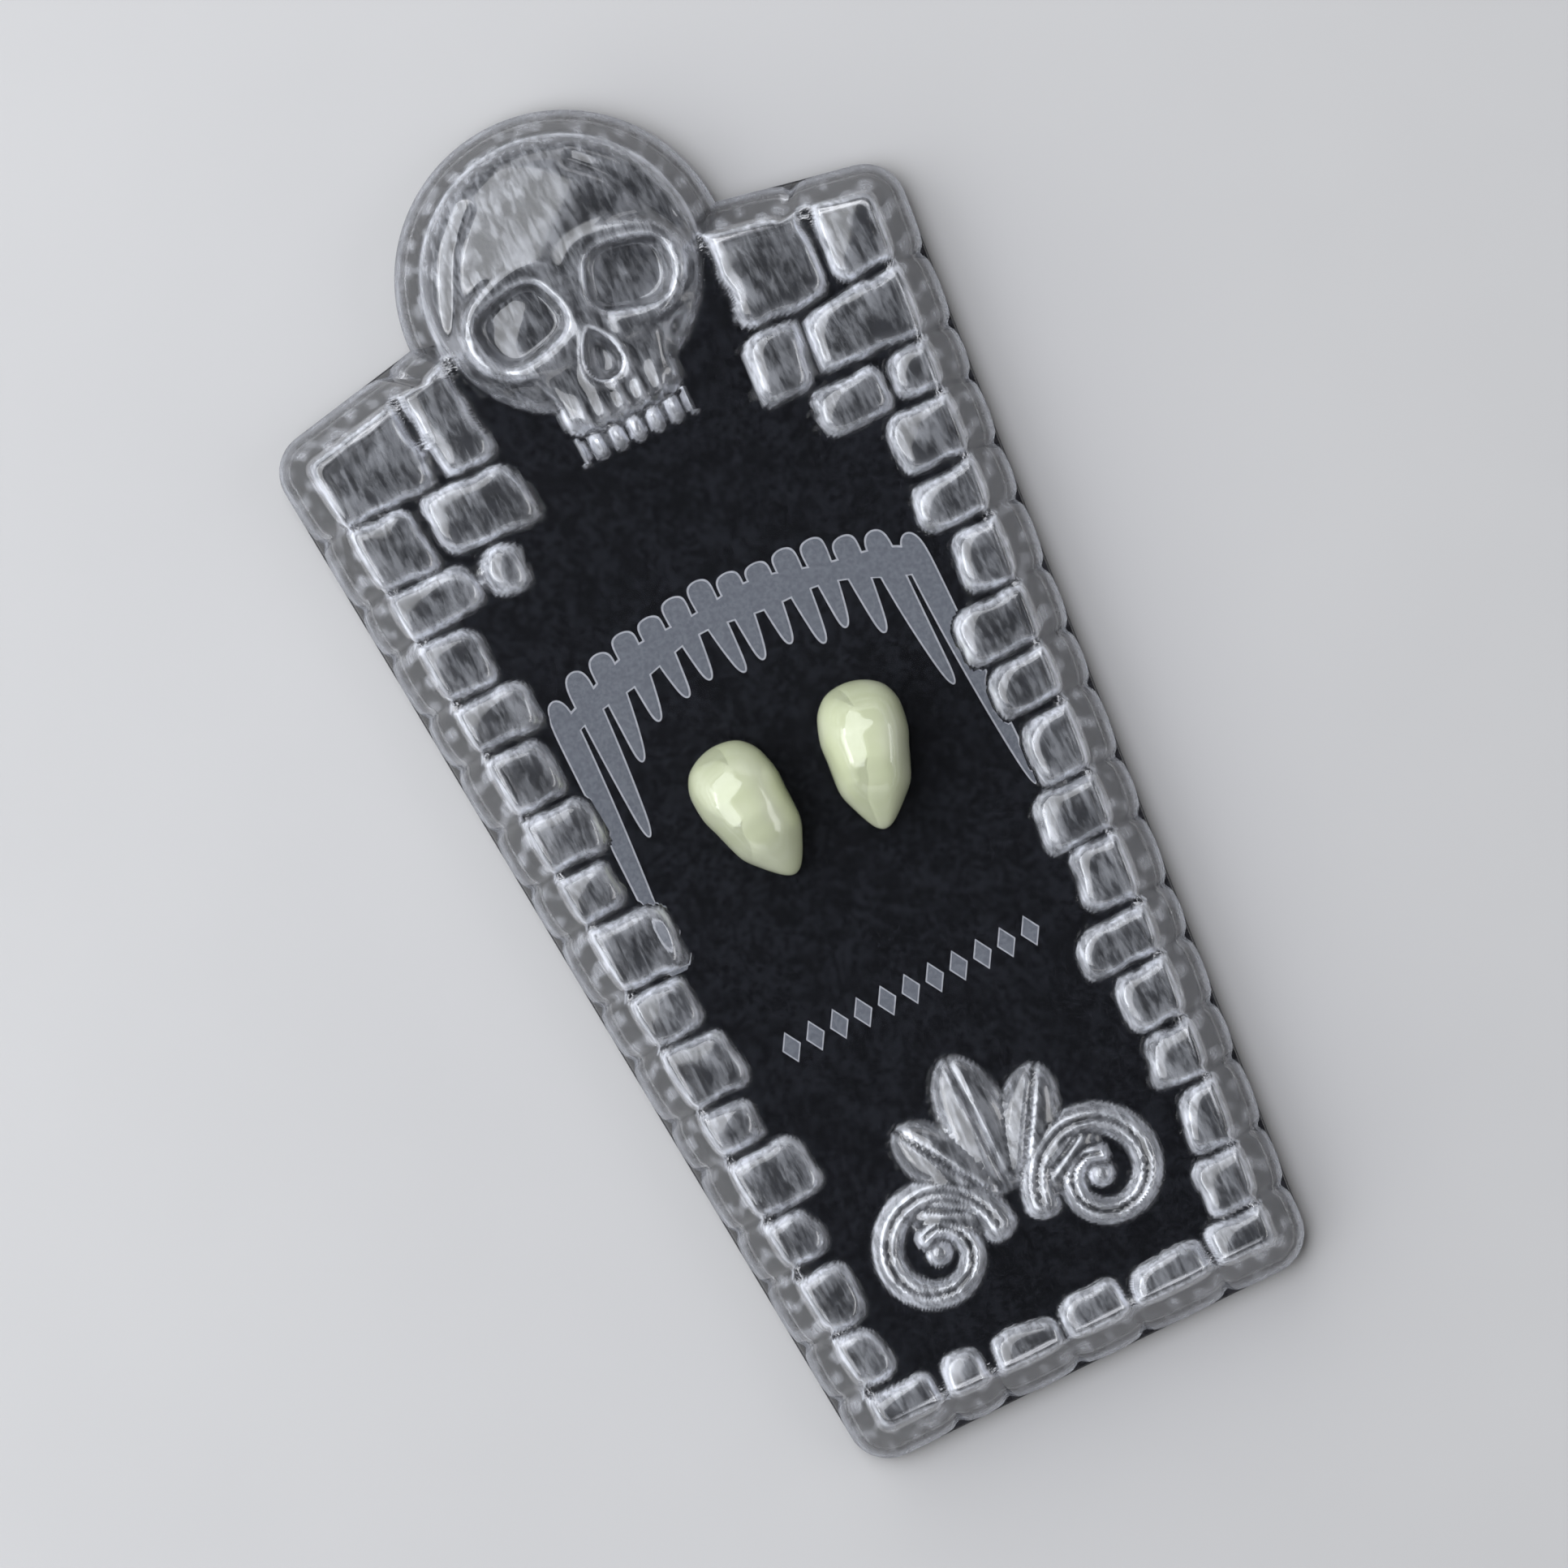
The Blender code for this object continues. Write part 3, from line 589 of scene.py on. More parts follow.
def sockets_and_nose(u, v):
    """What the hollows take away and what their raised rings add, in shares of the depth."""
    change = np.zeros_like(u)
    for across, along, half_width, half_length, turn in SOCKETS:
        c, s = math.cos(math.radians(turn)), math.sin(math.radians(turn))
        du, dv = u - across, v - along
        across, along = (du * c + dv * s) / half_width, (dv * c - du * s) / half_length
        reach = (np.abs(across) ** 3.2 + np.abs(along) ** 3.2) ** (1 / 3.2)
        change -= 0.92 * ease((1.06 - reach) / 0.36) - 0.16 * np.clip(1 - reach / 0.8, 0, 1)
        change += 0.15 * np.exp(-((reach - 1.20) / 0.15) ** 2)
    drop = (v - NOSE_ALONG) / NOSE_HALF_LENGTH
    half_width = NOSE_HALF_WIDTH * (1.0 - NOSE_TAPER * np.clip(drop, -1.2, 1.2))
    reach = np.hypot(u / half_width, drop)
    change -= 0.74 * np.clip(1 - reach ** 2, 0, 1) ** 0.6
    return change + 0.13 * np.exp(-((reach - 1.24) / 0.22) ** 2)


def skull_teeth(x, y):
    """A row of small domes, and the soft roots above them."""
    gum = DOME_Y - 1.20 * SKULL_SIZE
    pitch = TOOTH_WIDTH + TOOTH_GAP
    across = np.abs((x / pitch - 0.5) % 1 - 0.5) * pitch
    within = np.abs(x) < TOOTH_COUNT * pitch / 2
    tooth = 1 - (across / (TOOTH_WIDTH / 2 + 0.1 * MM)) ** 2.4
    tooth = tooth - (np.abs(y - gum) / (0.5 * TOOTH_LENGTH)) ** 2.4
    teeth = np.where(within, FACE_HEIGHT * np.clip(tooth, 0, 1) ** 0.42, 0)
    across, along = across / (0.35 * TOOTH_WIDTH), (y - gum - ROOT_RISE) / ROOT_LENGTH
    return teeth, ROOT_HEIGHT * within * np.exp(-across ** 2 - along ** 2)


def skull_relief(x, y):
    """Height of the skull above the window, from shares of its size about its middle."""
    u, v = x / SKULL_SIZE, (y - DOME_Y) / SKULL_SIZE
    side = np.hypot(u, 0.04) - 0.02
    braincase = SKULL_HEIGHT * np.sqrt(np.clip(1 - u * u - v * v, 0, 1))
    outline = np.concatenate([FACE_OUTLINE, FACE_OUTLINE[-2:0:-1] * (-1, 1)])
    face = FACE_HEIGHT * cushion(outline_depth(u, v, outline) * SKULL_SIZE + 0.15 * MM, FACE_BEVEL)
    height = smooth_max(braincase, face, 1.3 * MM)
    solid = ease(height / (1.5 * MM))
    for rise, path, width in ((BROW_HEIGHT, BROW, 0.095), (CHEEK_HEIGHT, CHEEK, 0.095),
                              (BRIDGE_HEIGHT, BRIDGE, 0.085), (-TEMPLE_DEPTH, TEMPLE, 0.055)):
        height += solid * rise * band(side, v, path, width)
    height += solid * SOCKET_DEPTH * sockets_and_nose(u, v)
    teeth, roots = skull_teeth(x, y)
    height += solid * (roots + 0.04 * MM * wobble(x, y, 6.0 * MM, 41))
    height = smooth_min(np.maximum(height, 0.5 * MM * solid), SKULL_HEIGHT - 0.05 * MM, 0.7 * MM)
    return np.maximum(np.maximum(height, teeth), 0)


print("skull", round(1000 * SKULL_HEIGHT, 1), "mm high")

# %% [markdown]
# ## Scrolls and leaf
#
# The foot carries an old ornament: a pair of scrolls with a leaf between them. A scroll's line
# is a spiral whose radius shrinks evenly with its turn, so a point's distance from it is the
# gap between its own radius and the spiral's at the same angle. The band has a half-round
# section with a soft groove along its crest.

# %% Height of the scrolls and the leaf
SCROLL_RADIUS, SCROLL_EYE_RADIUS, SCROLL_TURNS = 6.2 * MM, 1.9 * MM, 1.30
SCROLL_BAND, SCROLL_HEIGHT, SCROLL_GAP, SCROLL_TAPER = 1.9 * MM, 3.0 * MM, 0.7 * MM, 0.35
BUTTON_RADIUS, BUTTON_SHARE = 1.5 * MM, 0.85
LEAF_LENGTH, LEAF_WIDTH, LEAF_HEIGHT, VEIN_WIDTH = 14.5 * MM, 6.6 * MM, 3.0 * MM, 0.30 * MM
SCROLL_X = SCROLL_RADIUS + SCROLL_BAND + SCROLL_GAP / 2
SCROLL_Y = FOOT_ROW_TOP + SCROLL_GAP + SCROLL_RADIUS + SCROLL_BAND
LEAF_FAN = (
    # turn in degrees, share of the length, share of the width
    (-62.0, 0.66, 0.90), (-31.0, 0.86, 1.00), (0.0, 1.00, 1.10),
    (31.0, 0.86, 1.00), (62.0, 0.66, 0.90))


def round_band(across):
    """Half-round section from -1 to 1 with a groove along the crest."""
    share = np.clip(np.abs(across), 0, 1)
    return (1 - share ** 2.2) ** 0.6 * (1 - 0.16 * np.exp(-(across / 0.20) ** 2))


def scroll_relief(x, y):
    """Height of both scrolls: the left one is the right one's mirror image."""
    px, py = np.abs(x) - SCROLL_X, y - SCROLL_Y
    radius, angle = np.hypot(px, py), np.arctan2(py, px)
    height = np.zeros_like(x)
    for turn in range(3):
        share = (math.pi - angle + math.tau * (turn - 1)) / (math.tau * SCROLL_TURNS)
        kept = np.clip(share, 0, 1)
        track = SCROLL_RADIUS + (SCROLL_EYE_RADIUS - SCROLL_RADIUS) * kept
        half = SCROLL_BAND * (1 - SCROLL_TAPER * kept)
        end = np.abs(share - kept) * math.tau * SCROLL_TURNS * radius
        section = round_band(np.hypot(radius - track, end) / half)
        height = np.maximum(height, SCROLL_HEIGHT * section)
    button = np.clip(1 - (radius / BUTTON_RADIUS) ** 2, 0, 1) ** 0.6
    return np.maximum(height, BUTTON_SHARE * SCROLL_HEIGHT * button)


def leaf_relief(x, y):
    """Five lobes, each an ellipsoid with a vein down its middle."""
    height = np.zeros_like(x)
    for turn, length, width in LEAF_FAN:
        angle = math.radians(turn)
        along = x * math.sin(angle) + (y - SCROLL_Y) * math.cos(angle) - SCROLL_BAND
        across = x * math.cos(angle) - (y - SCROLL_Y) * math.sin(angle)
        half = length * LEAF_LENGTH / 2
        reach = (across / (width * LEAF_WIDTH / 2)) ** 2 + ((along - half) / half) ** 2
        lobe = LEAF_HEIGHT * np.clip(1 - reach, 0, 1) ** 0.55
        lobe *= 1 - 0.22 * np.exp(-(across / VEIN_WIDTH) ** 2)
        height = np.maximum(height, lobe)
    return height


print("scrolls about", round(1000 * SCROLL_X, 1), round(1000 * SCROLL_Y, 1), "mm")

# %% [markdown]
# ## Cover
#
# The cover is one closed skin. Its rows run from the outline to a spine along the middle, and
# its columns climb the drafted wall and cross the window. A point's height is the lower of the
# wall's slope and the window with its relief, rounded over where they meet, which is how a
# mould's edge looks. The level middle of the window is crossed by plain strips.

# %% Cover
WALL_INSETS = np.array((0, 0.06, 0.3, 0.9, 1.5, 2.0, 2.3, 2.5, 2.7, 2.9,
                        3.08, 3.26, 3.44, 3.62, 3.8, 4.0, 4.2, 4.4, 4.6)) * MM
BORDER_STEPS, MIDDLE_STEPS, BORDER_REACH = 31, 48, 7.0 * MM
EDGE_ROUNDING, RIM_REACH, RIM_BEND = 1.9 * MM, 0.36 * MM, 0.21 * MM
# The outer line's share paints a highlight along the foot of the outline; the wall's share mixes
# random pale patches into the same value.
WALL_PATCH_SHARE, WALL_PATCH, OUTER_PAINTED_HIGHLIGHT, OUTER_LINE = 0.55, 2.6 * MM, 0.5, 0.25 * MM
SPINE_CROWDING, GROOVE_REACHES = 0.45, (0.5 * MM, 1.5 * MM)
CLEAR_LOW, CLEAR_HIGH = -32.0 * MM, 23.4 * MM


def relief(x, y):
    """All that is cast on the window."""
    height = np.maximum(stone_relief(x, y), skull_relief(x, y))
    return np.maximum(height, np.maximum(scroll_relief(x, y), leaf_relief(x, y)))


def rims(x, y):
    """How sharply the relief bends down at a point, from 0 to 1: its crests and edges, which get a
    painted highlight.
    """
    around = sum(relief(x + a * RIM_REACH, y + b * RIM_REACH)
                 for a, b in ((1, 0), (-1, 0), (0, 1), (0, -1)))
    return np.clip((relief(x, y) - around / 4) / RIM_BEND, 0, 1)


def wall_grooves(edge, side):
    """How far the joints cut into the wall, one value for each row."""
    x, y = edge[:, 0], edge[:, 1]
    on_foot = y < FOOT_Y + 0.1 * MM
    on_flank = (~on_foot) & (np.abs(x - flank_x(y, 0)) < 0.02 * MM)
    on_gable = (~on_foot) & (~on_flank) & (np.abs(y - gable_y(x, 0)) < 0.02 * MM)
    away = np.full(len(edge), 1.0)
    away = np.where(on_flank, np.abs(y[:, None] - COURSE_LINES[:-1]).min(axis=1), away)
    away = np.where(on_foot, np.abs(side * x[:, None] - FOOT_LINES[1:-1]).min(axis=1), away)
    away = np.where(on_gable, np.abs(x - GABLE_JOINT[side]), away)
    sharp, soft = (np.exp(-(away / reach) ** 2) for reach in GROOVE_REACHES)
    return GROOVE_DEPTH * (0.6 * sharp + 0.4 * soft)


def spine_line():
    """Where each row meets the middle line; across the clear window the rows run level."""
    level = half_plan([0.0])[:, 0, 1]
    steps = (0, FOOT_STEPS, CORNER_STEPS, FLANK_STEPS, CORNER_STEPS, GABLE_STEPS, DOME_STEPS)
    marks = np.cumsum(steps)
    keys = np.array((-52.5, -51, -50.5, 35.5, 36.5, 41.5, 46.5)) * MM
    spine = np.interp(np.arange(len(level)), marks, keys)
    flank = slice(marks[2], marks[3])
    clear = (level[flank][0], CLEAR_LOW, CLEAR_HIGH, level[flank][-1])
    spine[flank] = np.interp(level[flank], clear, (keys[2], CLEAR_LOW, CLEAR_HIGH, keys[3]))
    return spine


def half_cover(side):
    """Grid of one half from the outline to the spine: points (rows, columns, 3)."""
    plan = half_plan(WALL_INSETS)
    inward = (half_plan(WALL_INSETS + 0.01 * MM) - plan) / (0.01 * MM)
    fade = 1 - ease((WALL_INSETS - RIDGE_INSET) / (WALL_INSETS[-1] - RIDGE_INSET))
    cut = wall_grooves(plan[:, 0], side)[:, None] * fade
    wall = plan + inward * cut[..., None]
    start, spine = plan[:, -1], spine_line()
    end = np.stack([np.zeros(len(spine)), spine], axis=1)
    length = np.hypot(*(end - start).T)
    border = np.minimum(BORDER_STEPS / (BORDER_STEPS + MIDDLE_STEPS), BORDER_REACH / length)
    first = border[:, None] * np.arange(1, BORDER_STEPS + 1) / BORDER_STEPS
    even = np.arange(1, MIDDLE_STEPS + 1) / MIDDLE_STEPS
    crowd = SPINE_CROWDING * ease((spine - CLEAR_HIGH) / (5 * MM))[:, None]
    second = border[:, None] + (1 - border[:, None]) * (even + crowd * even * (1 - even))
    share = np.concatenate([first, second], axis=1)[..., None]
    inner = start[:, None] + (end - start)[:, None] * share
    across = np.concatenate([wall, inner], axis=1) * (side, 1)
    lift = np.full(across.shape[1], 1.0)
    lift[:len(WALL_INSETS)] = COVER_FOOT + WALL_INSETS / DRAFT_RATIO
    top = WINDOW_HEIGHT + relief(across[..., 0], across[..., 1])
    z = smooth_min(lift[None, :], top, EDGE_ROUNDING)
    # This value is a painted highlight along the rounded edge where the wall meets the window and
    # along the outline's foot; random pale patches on the wall join it, and the relief's crests are
    # added below.
    edge_highlight_and_patches = np.exp(-((lift[None, :] - top) / (0.8 * MM)) ** 2)
    on_wall = ease((top - lift[None, :]) / (1.5 * MM)) * ease(lift[None, :] / (4 * MM) - 1)
    patches = np.clip(2.0 * wobble(across[..., 0], across[..., 1], WALL_PATCH, 9) - 0.3, 0, 1)
    edge_highlight_and_patches += WALL_PATCH_SHARE * on_wall * patches
    edge_highlight_and_patches[:, :len(WALL_INSETS)] += OUTER_PAINTED_HIGHLIGHT * np.exp(-(WALL_INSETS / OUTER_LINE - 1) ** 2)
    rim = np.maximum(rims(across[..., 0], across[..., 1]) * (lift[None, :] > top), edge_highlight_and_patches)
    return np.concatenate([across, z[..., None], rim[..., None]], axis=2)


def inner_columns(side):
    """From the spine over the ceiling and down the drafted inner wall to the rim."""
    heights = np.array((CEILING, CEILING, CEILING - 0.25 * MM, CEILING - 1.0 * MM, COVER_FOOT))
    rounding = np.array((1.1, 0.9, 0.25, 0.0, 0.0)) * MM
    insets = COVER_WALL + DRAFT_RATIO * (heights - COVER_FOOT) + rounding
    spine = spine_line()
    middle = np.stack([0 * spine, spine], axis=1)[:, None]
    plan = np.concatenate([middle, half_plan(insets)], axis=1) * (side, 1)
    heights = np.concatenate([[CEILING], heights])
    height_and_rim = np.stack([heights, 0 * heights], axis=1)
    return np.concatenate([plan, np.broadcast_to(height_and_rim, plan.shape[:2] + (2,))], axis=2)


def cover_mesh():
    """Points with their rim values, and faces; the level window is crossed by plain strips."""
    left, right, inside = half_cover(-1), half_cover(1), inner_columns(-1)
    grid = np.concatenate([inside, left[:, :-1], right[:, ::-1], inner_columns(1)[:, ::-1]], axis=1)
    rows, columns = grid.shape[:2]
    level = left[:, 0, 1]
    flank_rows = np.arange(FOOT_STEPS + CORNER_STEPS + 1, FOOT_STEPS + CORNER_STEPS + FLANK_STEPS)
    clear = flank_rows[(level[flank_rows] > CLEAR_LOW) & (level[flank_rows] < CLEAR_HIGH)]
    first, last = clear[0], clear[-1]
    begin = inside.shape[1] + len(WALL_INSETS) - 1 + BORDER_STEPS
    finish = columns - 1 - begin

    def in_window(r, c):
        return (r >= first) & (r < last) & (c >= begin) & (c < finish)

    faces = grid_faces(rows, columns, skip=in_window).tolist()
    faces += [[r * columns + begin, r * columns + finish,
               (r + 1) * columns + finish, (r + 1) * columns + begin]
              for r in range(first + 1, last - 1)]
    faces.append([first * columns + c for c in range(begin, finish + 1)]
                 + [(first + 1) * columns + finish, (first + 1) * columns + begin])
    faces.append([(last - 1) * columns + begin, (last - 1) * columns + finish]
                 + [last * columns + c for c in range(finish, begin - 1, -1)])
    used = np.unique(np.concatenate([np.array(face) for face in faces]))
    renumber = np.full(rows * columns, -1)
    renumber[used] = np.arange(len(used))
    return grid.reshape(-1, 4)[used], [renumber[face].tolist() for face in faces]


# %% [markdown]
# ## Clear plastic
#
# Moulded polystyrene in a thin shell, so light passes almost straight through the window.
# Its relief carries fine strokes of the tool and milky streaks, and its crests and edges carry a
# painted highlight: each point of the cover keeps how sharply it bends as its `rim` value, which
# mixes in a pale, slightly metallic shader there. For rays from lamps the plastic is a plain
# see-through film, so that what is shut inside is lit without the noise of focused light.

# %% Clear plastic
# The rim share is a painted highlight on crests and edges; the low and streak shares are milky haze
# on the raised forms.
HAZE_LOW, HAZE_STREAK, RIM_PAINTED_HIGHLIGHT = 0.03, 0.20, 0.78


def clear_plastic():
    """A thin clear shell: light passes almost straight, the raised forms are hazy, and their crests
    and edges get a painted highlight.
    """
    plastic = Finish("clear_plastic")
    place = plastic.place()
    strokes = plastic.noise(plastic.moved(place, (1.0, 0.22, 0.6), 0.6), 1500.0, 4.0, 0.6, 0.4)
    clouds = plastic.noise(place, 300.0, 3.0, 0.55)
    height = plastic.add("ShaderNodeSeparateXYZ", {}, {0: place}, output="Z")
    raised = plastic.span(height, WINDOW_HEIGHT + 0.3 * MM, WINDOW_HEIGHT + 1.6 * MM)
    rim = plastic.add("ShaderNodeAttribute", {"attribute_name": "rim"}, output="Fac")
    rough = 0.02 + raised * plastic.span(strokes * 0.6 + clouds * 0.4, 0.42, 0.68, 0.02, 0.10)
    normal = plastic.bump((strokes * 0.5 + clouds * 1.2) * raised, 0.08 * MM, 0.4)
    body = plastic.principled(
        Base_Color=(0.95, 0.96, 0.98, 1.0), Roughness=rough, IOR=1.15, Transmission_Weight=1.0,
        Coat_Weight=0.06 + 0.84 * raised, Coat_Roughness=0.13, Coat_IOR=1.6, Normal=normal)
    haze_and_highlight = plastic.principled(
        Base_Color=(0.80, 0.83, 0.91, 1.0), Roughness=0.34, Metallic=0.35, Normal=normal)
    streaks = plastic.span(strokes * 0.55 + clouds * 0.45, 0.40, 0.64)
    # The rim term paints a highlight on crests and edges in the pale shader; the raised term is
    # milky streaks.
    share = raised * (HAZE_LOW + HAZE_STREAK * streaks) + rim * (RIM_PAINTED_HIGHLIGHT * (0.5 + 0.5 * streaks))
    solid = plastic.add("ShaderNodeMixShader", {}, {0: share, 1: body, 2: haze_and_highlight})
    film = plastic.add("ShaderNodeBsdfTransparent", {}, {"Color": (0.96, 0.96, 0.97, 1.0)})
    lamp_ray = plastic.add("ShaderNodeLightPath", output="Is Shadow Ray")
    return plastic.done(plastic.add("ShaderNodeMixShader", {}, {0: lamp_ray, 1: solid, 2: film}))


points, faces = cover_mesh()
# The rim value rides on each point as an attribute and places the plastic's painted highlight.
make_piece("cover_moulding", points[:, :3], faces, clear_plastic(), "clear_plastic", ["case_cover"],
           rim=points[:, 3])

# %% [markdown]
# ## Base
#
# A flat back of black plastic, with a low lip that the cover presses over. It is a profile
# carried round the plan: up the side with a small rounding, in along the top, over the lip and
# down to the floor inside.

# %% Base
BASE_PROFILE = np.array((
    # inset, height
    (0.55, 0.0), (0.40, 0.0), (0.18, 0.06), (0.05, 0.20), (0.0, 0.42), (0.0, 1.25),
    (0.04, 1.42), (0.14, 1.54), (0.30, 1.60))) * MM


def base_mesh():
    """Points and faces of the base: one profile of insets and heights, closed by two spines."""
    lip_heights = np.array((BASE_THICKNESS, LIP_TOP - 0.3 * MM, LIP_TOP - 0.08 * MM, LIP_TOP,
                            LIP_TOP, LIP_TOP - 0.1 * MM, LIP_TOP - 0.3 * MM, BASE_THICKNESS))
    lip_insets = np.array((0, 0, 0.12 * MM, 0.3 * MM,
                           LIP_WALL - 0.3 * MM, LIP_WALL - 0.1 * MM, LIP_WALL, LIP_WALL))
    lip_insets += DRAFT_RATIO * (lip_heights - COVER_FOOT) + COVER_WALL + FIT_GAP
    insets = np.concatenate([BASE_PROFILE[:, 0], lip_insets])
    heights = np.concatenate([BASE_PROFILE[:, 1], lip_heights])
    half = half_plan(insets, thin=2)
    middle = np.stack([0 * half[:, 0, 0], spine_line()[::2]], axis=1)[:, None]
    half = np.concatenate([middle, half, middle], axis=1)
    heights = np.concatenate([heights[:1], heights, heights[-1:]])
    right = np.concatenate([half, np.broadcast_to(heights[:, None], half.shape[:2] + (1,))], axis=2)
    left = right[-2:0:-1] * (-1, 1, 1)
    loop = np.concatenate([right, left]).transpose(1, 0, 2)
    return loop.reshape(-1, 3), grid_faces(*loop.shape[:2], around=True)


def black_plastic():
    """Black moulding with a faint grain."""
    plastic = Finish("black_plastic")
    grain = plastic.noise(plastic.place(), 1400.0, 4.0, 0.6)
    shade = plastic.span(grain, 0.35, 0.65)
    colour = plastic.blend(shade, (0.010, 0.010, 0.012), (0.020, 0.020, 0.024))
    return plastic.done(plastic.principled(
        Base_Color=colour, Roughness=plastic.span(grain, 0.3, 0.7, 0.20, 0.34), IOR=1.5,
        Normal=plastic.bump(grain, 0.02 * MM, 0.4)))


points, faces = base_mesh()
make_piece("base_moulding", points, faces, black_plastic(), "black_plastic", ["case_base"])

# %% [markdown]
# ## Fang caps
#
# Each cap is a hollow shell of glossy enamel, open at its back. Its rings are cross sections
# from the gum end to the tip. A ring goes over the front, round the rim and back under the
# hollow, so one grid makes the whole shell, and both its ends close on the rim.

# %% Fang caps
CREST_SKEW, SECTION_POWER = 0.12, 2.5
HOLLOW_LENGTH = FANG_LENGTH - FANG_WALL - FANG_TIP
FANG_TURNS = {-1: math.radians(9.5), 1: math.radians(-13.5)}
FANG_PROFILE = np.array((
    # share of the length, share of the half width, share of the crest's height
    (0.00, 0.00, 0.00), (0.08, 0.73, 0.58), (0.22, 0.96, 0.88), (0.36, 1.00, 1.00),
    (0.50, 0.93, 1.00), (0.64, 0.86, 0.90), (0.71, 0.81, 0.82), (0.85, 0.54, 0.56),
    (0.92, 0.37, 0.40), (1.00, 0.00, 0.06)))
STATIONS, SIDES = 90, 72


def fang_form(share):
    """Half width and crest as shares, along a half circle's turn so that both ends are round."""
    keys = np.arccos(1 - 2 * FANG_PROFILE[:, 0])
    at = np.arccos(1 - 2 * share)
    return (np.clip(smooth_line(keys, FANG_PROFILE[:, k], at), 0, None) for k in (1, 2))


def fang_mesh(side):
    """The shell about its own middle: rings (stations, points round, 3)."""
    turn = np.linspace(0, math.pi, STATIONS)
    share = (1 - np.cos(turn)) / 2
    width, crest = fang_form(share)
    crest[-1] = 0  # the tip ends on the rim's level
    across = -np.cos(np.linspace(0, math.pi, SIDES + 1))
    skewed = (across - side * CREST_SKEW) / (1 - across * side * CREST_SKEW)
    rise = (1 - np.abs(skewed) ** SECTION_POWER) ** (1 / SECTION_POWER)
    half = FANG_WIDTH / 2
    along = np.repeat((FANG_LENGTH * (0.5 - share))[:, None], SIDES + 1, 1)
    outer = np.stack([half * width[:, None] * across, along,
                      FANG_HEIGHT * crest[:, None] * rise], axis=2)
    shift = (FANG_LENGTH - HOLLOW_LENGTH) / 2 - FANG_WALL
    along = np.repeat((HOLLOW_LENGTH * (0.5 - share) + shift)[:, None], SIDES + 1, 1)
    inner = np.stack([(half - FANG_WALL) * width[:, None] * across[::-1], along,
                      (FANG_HEIGHT - FANG_WALL) * crest[:, None] * rise[::-1]], axis=2)
    rings = np.concatenate([outer, inner], axis=1)
    turn = FANG_TURNS[side]
    c, s = math.cos(turn), math.sin(turn)
    x = rings[..., 0] * c - rings[..., 1] * s + side * (FANG_WIDTH + FANG_GAP) / 2
    y = rings[..., 0] * s + rings[..., 1] * c + FOOT_Y + FANG_REACH
    return np.stack([x, y, rings[..., 2] + FANG_FOOT], axis=2)


def enamel_finish():
    """Glossy, pale green-yellow, softly clouded."""
    enamel = Finish("glow_enamel")
    place = enamel.place()
    clouds = enamel.noise(place, 190.0, 3.0, 0.5)
    colour = enamel.blend(enamel.span(clouds, 0.35, 0.70), (0.72, 0.77, 0.50), (0.80, 0.84, 0.60))
    normal = enamel.bump(enamel.noise(place, 900.0, 2.0), 0.004 * MM, 0.4)
    return enamel.done(enamel.principled(
        Base_Color=colour, Roughness=enamel.span(clouds, 0.3, 0.7, 0.10, 0.20), IOR=1.5,
        Coat_Weight=0.6, Coat_Roughness=0.04, Normal=normal))


ENAMEL = enamel_finish()
for side, name in ((-1, "left"), (1, "right")):
    rings = fang_mesh(side)
    faces = grid_faces(*rings.shape[:2], around=True)
    make_piece("cap_" + name, rings, faces, ENAMEL, "fang_enamel", ["fang_" + name])

# %% [markdown]
# ## Card
#
# The card under the caps is black board with a faint blue mottle. Its solid is right as it is,
# so it only gets its finish.

# %% Card
def card_finish():
    """Uncoated black board with paler fibres."""
    board = Finish("black_card")
    place = board.place()
    fibres = board.noise(place, 1700.0, 5.0, 0.7)
    clouds = board.noise(place, 420.0, 3.0, 0.6)
    colour = board.blend(board.span(fibres * 0.6 + clouds * 0.4, 0.42, 0.62),
                         (0.002, 0.0023, 0.0034), (0.0135, 0.0145, 0.0185))
    normal = board.bump(fibres, 0.03 * MM, 0.6)
    rough = board.span(clouds, 0.3, 0.7, 0.62, 0.82)
    return board.done(board.principled(Base_Color=colour, Roughness=rough, IOR=1.15, Normal=normal))


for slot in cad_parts["insert_card"].material_slots:
    slot.material = card_finish()
print("card dressed")

# %% [markdown]
# ## Print on the card
#
# A fringe of drips hangs in an arch above the caps, and a row of lozenges lies below them.
# Each shape is a thin closed slab between two lines, laid on the card: once a little larger in
# pale ink, and once in grey on top of it, so that a fine pale outline is left.

# %% Print on the card
INK_SPAN, INK_TOP, INK_DROP, DRIP_COUNT, DRIP_HALF = 18.4 * MM, 17.6 * MM, 4.0 * MM, 14, 1.12 * MM
BAR_DROP, BAR_HALF, BAR_WAVE, OUTLINE = 3.4 * MM, 1.15 * MM, 0.3 * MM, 0.17 * MM
LOZENGE_Y, LOZENGE_PITCH, LOZENGE_COUNT = -25.6 * MM, 2.5 * MM, 11
LOZENGE_HALF_WIDTH, LOZENGE_HALF_HEIGHT = 0.80 * MM, 1.35 * MM


def slab(x, y, half_x, half_y, low, high):
    """A closed thin slab about a line, which reaches half its width to both sides of it."""
    corners = ((-1, low), (1, low), (1, high), (-1, high))
    return np.stack([np.column_stack([x + side * half_x, y + side * half_y, np.full(len(x), z)])
                     for side, z in corners], axis=1)


